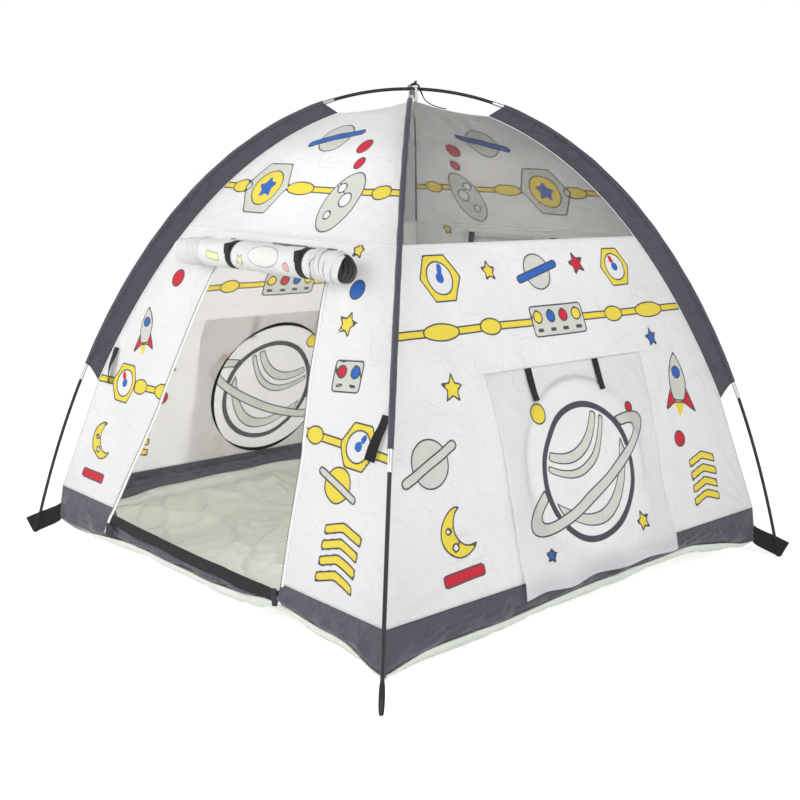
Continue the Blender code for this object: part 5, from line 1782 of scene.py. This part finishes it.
def roll_sheet():
    """Rows wind round the roll, columns run along it. The first rows are the flat stretch from the seam."""
    turns, across = shares(ROLL_ROWS, ROLL_COLUMNS)
    angle = ROLL_START - 2 * math.pi * ROLL_TURNS * turns
    left = LEFT_JAMB[2] - 0.006 - 0.108 * turns**0.8
    right_end = RIGHT_JAMB[2] + 0.006 + 0.104 * turns**0.8
    ragged = 0.0035 * np.sin(angle * 1.3 + 0.4)
    x = (left - ragged) + (right_end - left + 2 * ragged) * across
    out = np.maximum(x - RIGHT_JAMB[2], LEFT_JAMB[2] - x)
    free = smooth_step(out, 0.004, 0.075)
    radius = ROLL_RADIUS * (1 - 0.34 * turns + 0.27 * turns * free) * squeeze(x)
    rings = np.cos(2 * math.pi * (x / 0.0135 + 0.3 * np.sin(angle)))
    rings = 0.0034 * rings * smooth_step(out, 0, 0.02) * (1 - 0.5 * free)
    radius = radius * (1 + 0.035 * np.sin(3 * angle + 9 * across) * (0.4 + free)) + rings - 0.0004
    wound = round_roll(x, radius, angle)
    wound[..., 2] += -0.004 * np.clip(out / 0.1, 0, 1) ** 1.5
    hang = np.linspace(0, 1, 8, endpoint=False)[:, None, None]
    seam = np.stack(np.broadcast_arrays(x[0], *DOOR_SEAM[1:]), axis=-1)
    points = np.concatenate((seam + (wound[0] - seam) * hang, wound))
    run = run_along(points[:, 90])[:, None]
    return points[..., 0], np.broadcast_to(run, points.shape[:2]), points


def roll_print(x, y):
    """What shows on the outside of the roll: the motifs of the door's upper part."""
    ink = Print(x, y)
    ink.paint(oval(x, y, (0.052, -0.140), 0.052, 0.024), "pale")
    ink.star((-0.03, -0.125), 0.016, "yellow")
    ink.disc((0.132, -0.122), 0.010, "red")
    ink.paint(panel(x, y, (-0.135, -0.128), 0.05, 0.016, 0.005, 5), "yellow")
    return ink


flat_x, flat_run, points = roll_sheet()
ink = roll_print(flat_x, -flat_run)
# painted shade: the roll's inside is dark grey for the deep shade inside a tight roll, not for the cloth's
# own colour
ROLL_INSIDE_PAINTED_SHADE = make_cloth("roll_inside_painted_shade", 1.0, tone("#66656A"), 0.1)
# painted shade: the roll's outside is the door's white cloth toned grey, so its lit surfaces don't come out
# too bright
ROLL_OUTSIDE_SHADED = make_cloth("roll_outside_shaded", 0.5, tone("#D4D4D3"), 0.03)
roll = sheet_grid(
    "front_door_roll", flat_x, flat_run, points, ROLL_INSIDE_PAINTED_SHADE, ROLL_OUTSIDE_SHADED, ink=ink, thickness=0.0008,
)
finish_sheet(roll, "front_door", "white_cloth", "rolled_front_door")

# %% [markdown]
# The two ties go round the roll from behind, and one end of each lies on the front of it.

# %% Roll ties
ROLL_TIE_LIFT, ROLL_TIE_THICK = 0.0014, 0.0015


def roll_tie(name, node_name, x):
    """A band of webbing round the squeezed roll, from behind it, under and over, and down behind it."""
    angle = np.linspace(ROLL_START - 0.10, ROLL_START - 5.0, 64)
    radius = ROLL_RADIUS * float(squeeze(np.array(x))) + ROLL_TIE_LIFT
    path = round_roll(x + np.linspace(-0.003, 0.003, 64), radius, angle)
    way, along_roll = along_path(path), np.array((1.0, 0, 0))
    across = unit(along_roll - way * (along_roll * way).sum(-1, keepdims=True))
    section = flat_section(ROLL_TIE_WIDTH, ROLL_TIE_THICK)
    band = carried(name, path, across, unit(np.cross(along_roll, way)), section, WEBBING)
    finish(band, "front_door", "black_webbing", node_name)
    share = np.linspace(0, 1, 18)
    reach = radius + ROLL_TIE_LIFT + 0.004 * share**2
    path = round_roll(x - 0.002 - 0.006 * share, reach, angle[34] - share * 0.62)
    way = along_path(path)
    face = unit(np.cross(along_roll, way))
    tongue = webbing_strip(f"{name}_tongue", path, unit(np.cross(face, way)), face, ROLL_TIE_WIDTH * 0.95)
    finish(tongue, "front_door", "black_webbing")


roll_tie("roll_tie_left_band", "roll_tie_left", ROLL_TIE_X[0])
roll_tie("roll_tie_right_band", "roll_tie_right", ROLL_TIE_X[1])
print("two roll ties")

# %% [markdown]
# ## Anchors
# Each anchor is heavy webbing, doubled and sewn, that slopes from the floor's corner to the ground. The
# pole's foot stands in a pocket between its two layers, which swell round it.

# %% Anchors
ANCHOR_SLOPE = math.radians(26.7)
ANCHOR_WIDTH, ANCHOR_LENGTH, ANCHOR_TOP = 0.043, 0.101, 0.081
ANCHOR_HALF, POCKET_RADIUS, ANCHOR_LIFT = 0.0015, 0.0058, 0.0006
ANCHOR_ROWS, ANCHOR_COLUMNS, ANCHOR_SEWN_ROWS = 72, 30, (4, 25)


def anchor(corner, angle):
    """Two layers over (u, w): u down the strap, w up its width. Their gap follows the pole between them."""
    along = np.array((math.cos(ANCHOR_SLOPE), -math.sin(ANCHOR_SLOPE)))
    upward = np.array((math.sin(ANCHOR_SLOPE), math.cos(ANCHOR_SLOPE)))
    start = np.array((corner_seam(ANCHOR_TOP) - SEAM_GAP, ANCHOR_TOP))
    u, edge = shares(ANCHOR_ROWS, ANCHOR_COLUMNS)
    edge = math.pi * edge
    w = -0.5 + 0.5 * np.cos(edge)
    flat = start + along * (u * ANCHOR_LENGTH)[..., None] + upward * (w * ANCHOR_WIDTH)[..., None]
    flat[..., 0] += (corner_seam(flat[..., 1]) - SEAM_GAP - flat[..., 0]) * (1 - u) ** 3
    flat[..., 1] = np.maximum(flat[..., 1], ANCHOR_LIFT)
    foot_way = np.array((math.sin(FOOT_LEAN), -math.cos(FOOT_LEAN)))
    from_foot = flat - np.array((POLE_FOOT, 0.0))
    off_axis = from_foot[..., 0] * foot_way[1] - from_foot[..., 1] * foot_way[0]
    swell = np.sqrt(np.maximum(POCKET_RADIUS**2 - off_axis**2, 0))
    skirt = POCKET_RADIUS * 0.55 * np.exp(-(off_axis / 0.0085) ** 2)
    ends = (1 - 0.85 * smooth_step(u, 0.985, 1.0)) * (1 - 0.5 * smooth_step(-u, -0.02, 0))
    half = np.maximum(np.maximum(swell, skirt), ANCHOR_HALF) * np.sin(edge) ** 0.35 * ends
    sides = [in_corner_plane(angle, flat[..., 0], flat[..., 1], way * half) for way in (1, -1)]
    points = np.concatenate((sides[0], sides[1][:, -2:0:-1]), axis=1)
    blocks = [grid_faces(*points.shape[:2], False, True), *end_caps(*points.shape[:2])]
    uv_w = np.concatenate((w, w[:, -2:0:-1]), axis=1) * ANCHOR_WIDTH
    uv = np.stack(np.broadcast_arrays(uv_w, u * ANCHOR_LENGTH), axis=-1)
    piece, _ = mesh_object(f"{corner}_anchor_webbing", points, blocks, uv, WEBBING, closed=True)
    finish(piece, "tent", "black_webbing", f"{corner}_anchor")
    for letter, way, side in (("a", 1, sides[0]), ("b", -1, sides[1])):
        face = way * np.array((math.sin(angle), -math.cos(angle), 0))
        for row in ANCHOR_SEWN_ROWS:
            line = side[3:-4, row] + face * 0.0001
            across = unit(np.cross(face, along_path(line)))
            sewn = stitches(f"{corner}_anchor_stitches_{letter}{row}", line, across, face)
            finish(sewn, "tent", "black_webbing")


for corner, angle in CORNER_ANGLES.items():
    anchor(corner, angle)
print("four anchors")

# %% [markdown]
# ## Crown
# The four walls end at a small hole under the poles' crossing. A white ribbon sewn into it goes over the
# crossing, and a thin black tape is knotted round it in a bow with one long tail, which falls over the
# front of the right-hand window.

# %% Crown
TAIL_POINTS = (
    (0.0066, -0.0005, 1.1200), (0.0102, 0.0008, 1.1195), (0.0136, 0.0028, 1.1160), (0.0156, 0.0050, 1.1100),
    (0.0172, 0.0074, 1.1035), (0.0188, 0.0102, 1.0965), (0.0202, 0.0138, 1.0895), (0.0222, 0.0182, 1.0830),
    (0.0262, 0.0238, 1.0778), (0.0315, 0.0300, 1.0734), (0.0380, 0.0370, 1.0700), (0.0440, 0.0435, 1.0672),
    (0.0500, 0.0498, 1.0654), (0.0560, 0.0560, 1.0638),
)
TAIL_RADIUS, BOW_RADIUS, KNOT_RADIUS = 0.0012, 0.0013, 0.0015
TAIL = smooth_curve(TAIL_POINTS, 90)
RIBBON_HALF, RIBBON_LOW, RIBBON_HIGH, RIBBON_THICK = 0.0118, 1.0775, 1.1142, 0.0010
KNOT_CENTRE, KNOT_REACH, KNOT_WAVE = np.array((0.0, 0.0, 1.1196)), 0.0030, 0.0017
SIDE_ON = (0.7, -0.7, 0.1)
BOW = {
    "up": (
        (0, 0, 1.1200), (0.0035, 0.003, 1.1235), (0.0052, 0.0045, 1.1262), (0.0025, 0.0025, 1.1266),
        (0.0, 0.0005, 1.1210),
    ),
    "down": (
        (0, 0, 1.1195), (-0.0055, -0.004, 1.1185), (-0.0105, -0.0085, 1.1140), (-0.0085, -0.0065, 1.1120),
        (-0.002, -0.002, 1.1180),
    ),
}


def crown_ribbon():
    """A flat loop round both poles at the crossing: up from the cloth, over and down again."""
    a = np.linspace(0, 2 * math.pi, 72, endpoint=False)
    middle = (RIBBON_LOW + RIBBON_HIGH) / 2
    x = RIBBON_HALF * np.sign(np.cos(a)) * np.abs(np.cos(a)) ** 0.75
    z = middle + (RIBBON_HIGH - RIBBON_LOW) / 2 * np.sin(a)
    path = np.stack((x, 0 * x, z), axis=-1)
    across = np.array((0, 1.0, 0))
    face = unit(np.cross(across, along_path(path, closed=True)))
    width = 0.0082 + 0.004 * smooth_step(-z, -middle, -RIBBON_LOW)
    section = tape_sections(width, RIBBON_THICK, len(path))
    loop = carried("crown_ribbon_loop", path, across, face, section, RIBBON, closed=True)
    finish(loop, "tent", "white_ribbon", "crown_ribbon")


def knot():
    """Cord that goes twice round a ring and three times over it, the bow's loops, and the bunched tie."""
    t = np.linspace(0, 2 * math.pi, 160, endpoint=False)
    reach = KNOT_REACH + KNOT_WAVE * np.cos(3 * t)
    path = np.stack((reach * np.cos(2 * t), reach * np.sin(2 * t), KNOT_WAVE * np.sin(3 * t)), axis=-1)
    path = KNOT_CENTRE + path
    made = tube("crown_knot_cord", path, KNOT_RADIUS, WEBBING, 10, (0.3, 0.2, 1), closed=True)
    finish(made, "tent", "black_webbing", "crown_knot")
    for way, points in BOW.items():
        loop = tube(f"crown_bow_{way}", smooth_curve(points, 40), BOW_RADIUS, WEBBING, 8, SIDE_ON)
        finish(loop, "tent", "black_webbing")
    bunched = TAIL[1:34]
    radii = np.interp(np.linspace(0, 1, len(bunched)), (0, 0.8, 1), (0.0023, 0.0018, 0.0010))
    finish(tube("crown_tie_bunched", bunched, radii, WEBBING, 10, SIDE_ON), "tent", "black_webbing")


def tail():
    """The loose tail. Returns its length."""
    radii = TAIL_RADIUS * np.concatenate((np.ones(86), (1.0, 1.0, 0.9, 0.7)))
    made = tube("crown_tail_cord", TAIL, radii, WEBBING, 10, SIDE_ON)
    finish(made, "tent", "black_webbing", "crown_tie_tail")
    length = float(run_along(TAIL)[-1])
    return length


crown_ribbon()
knot()
print(f"crown ribbon, knot and a tail of {tail() * 1000:.0f} mm")
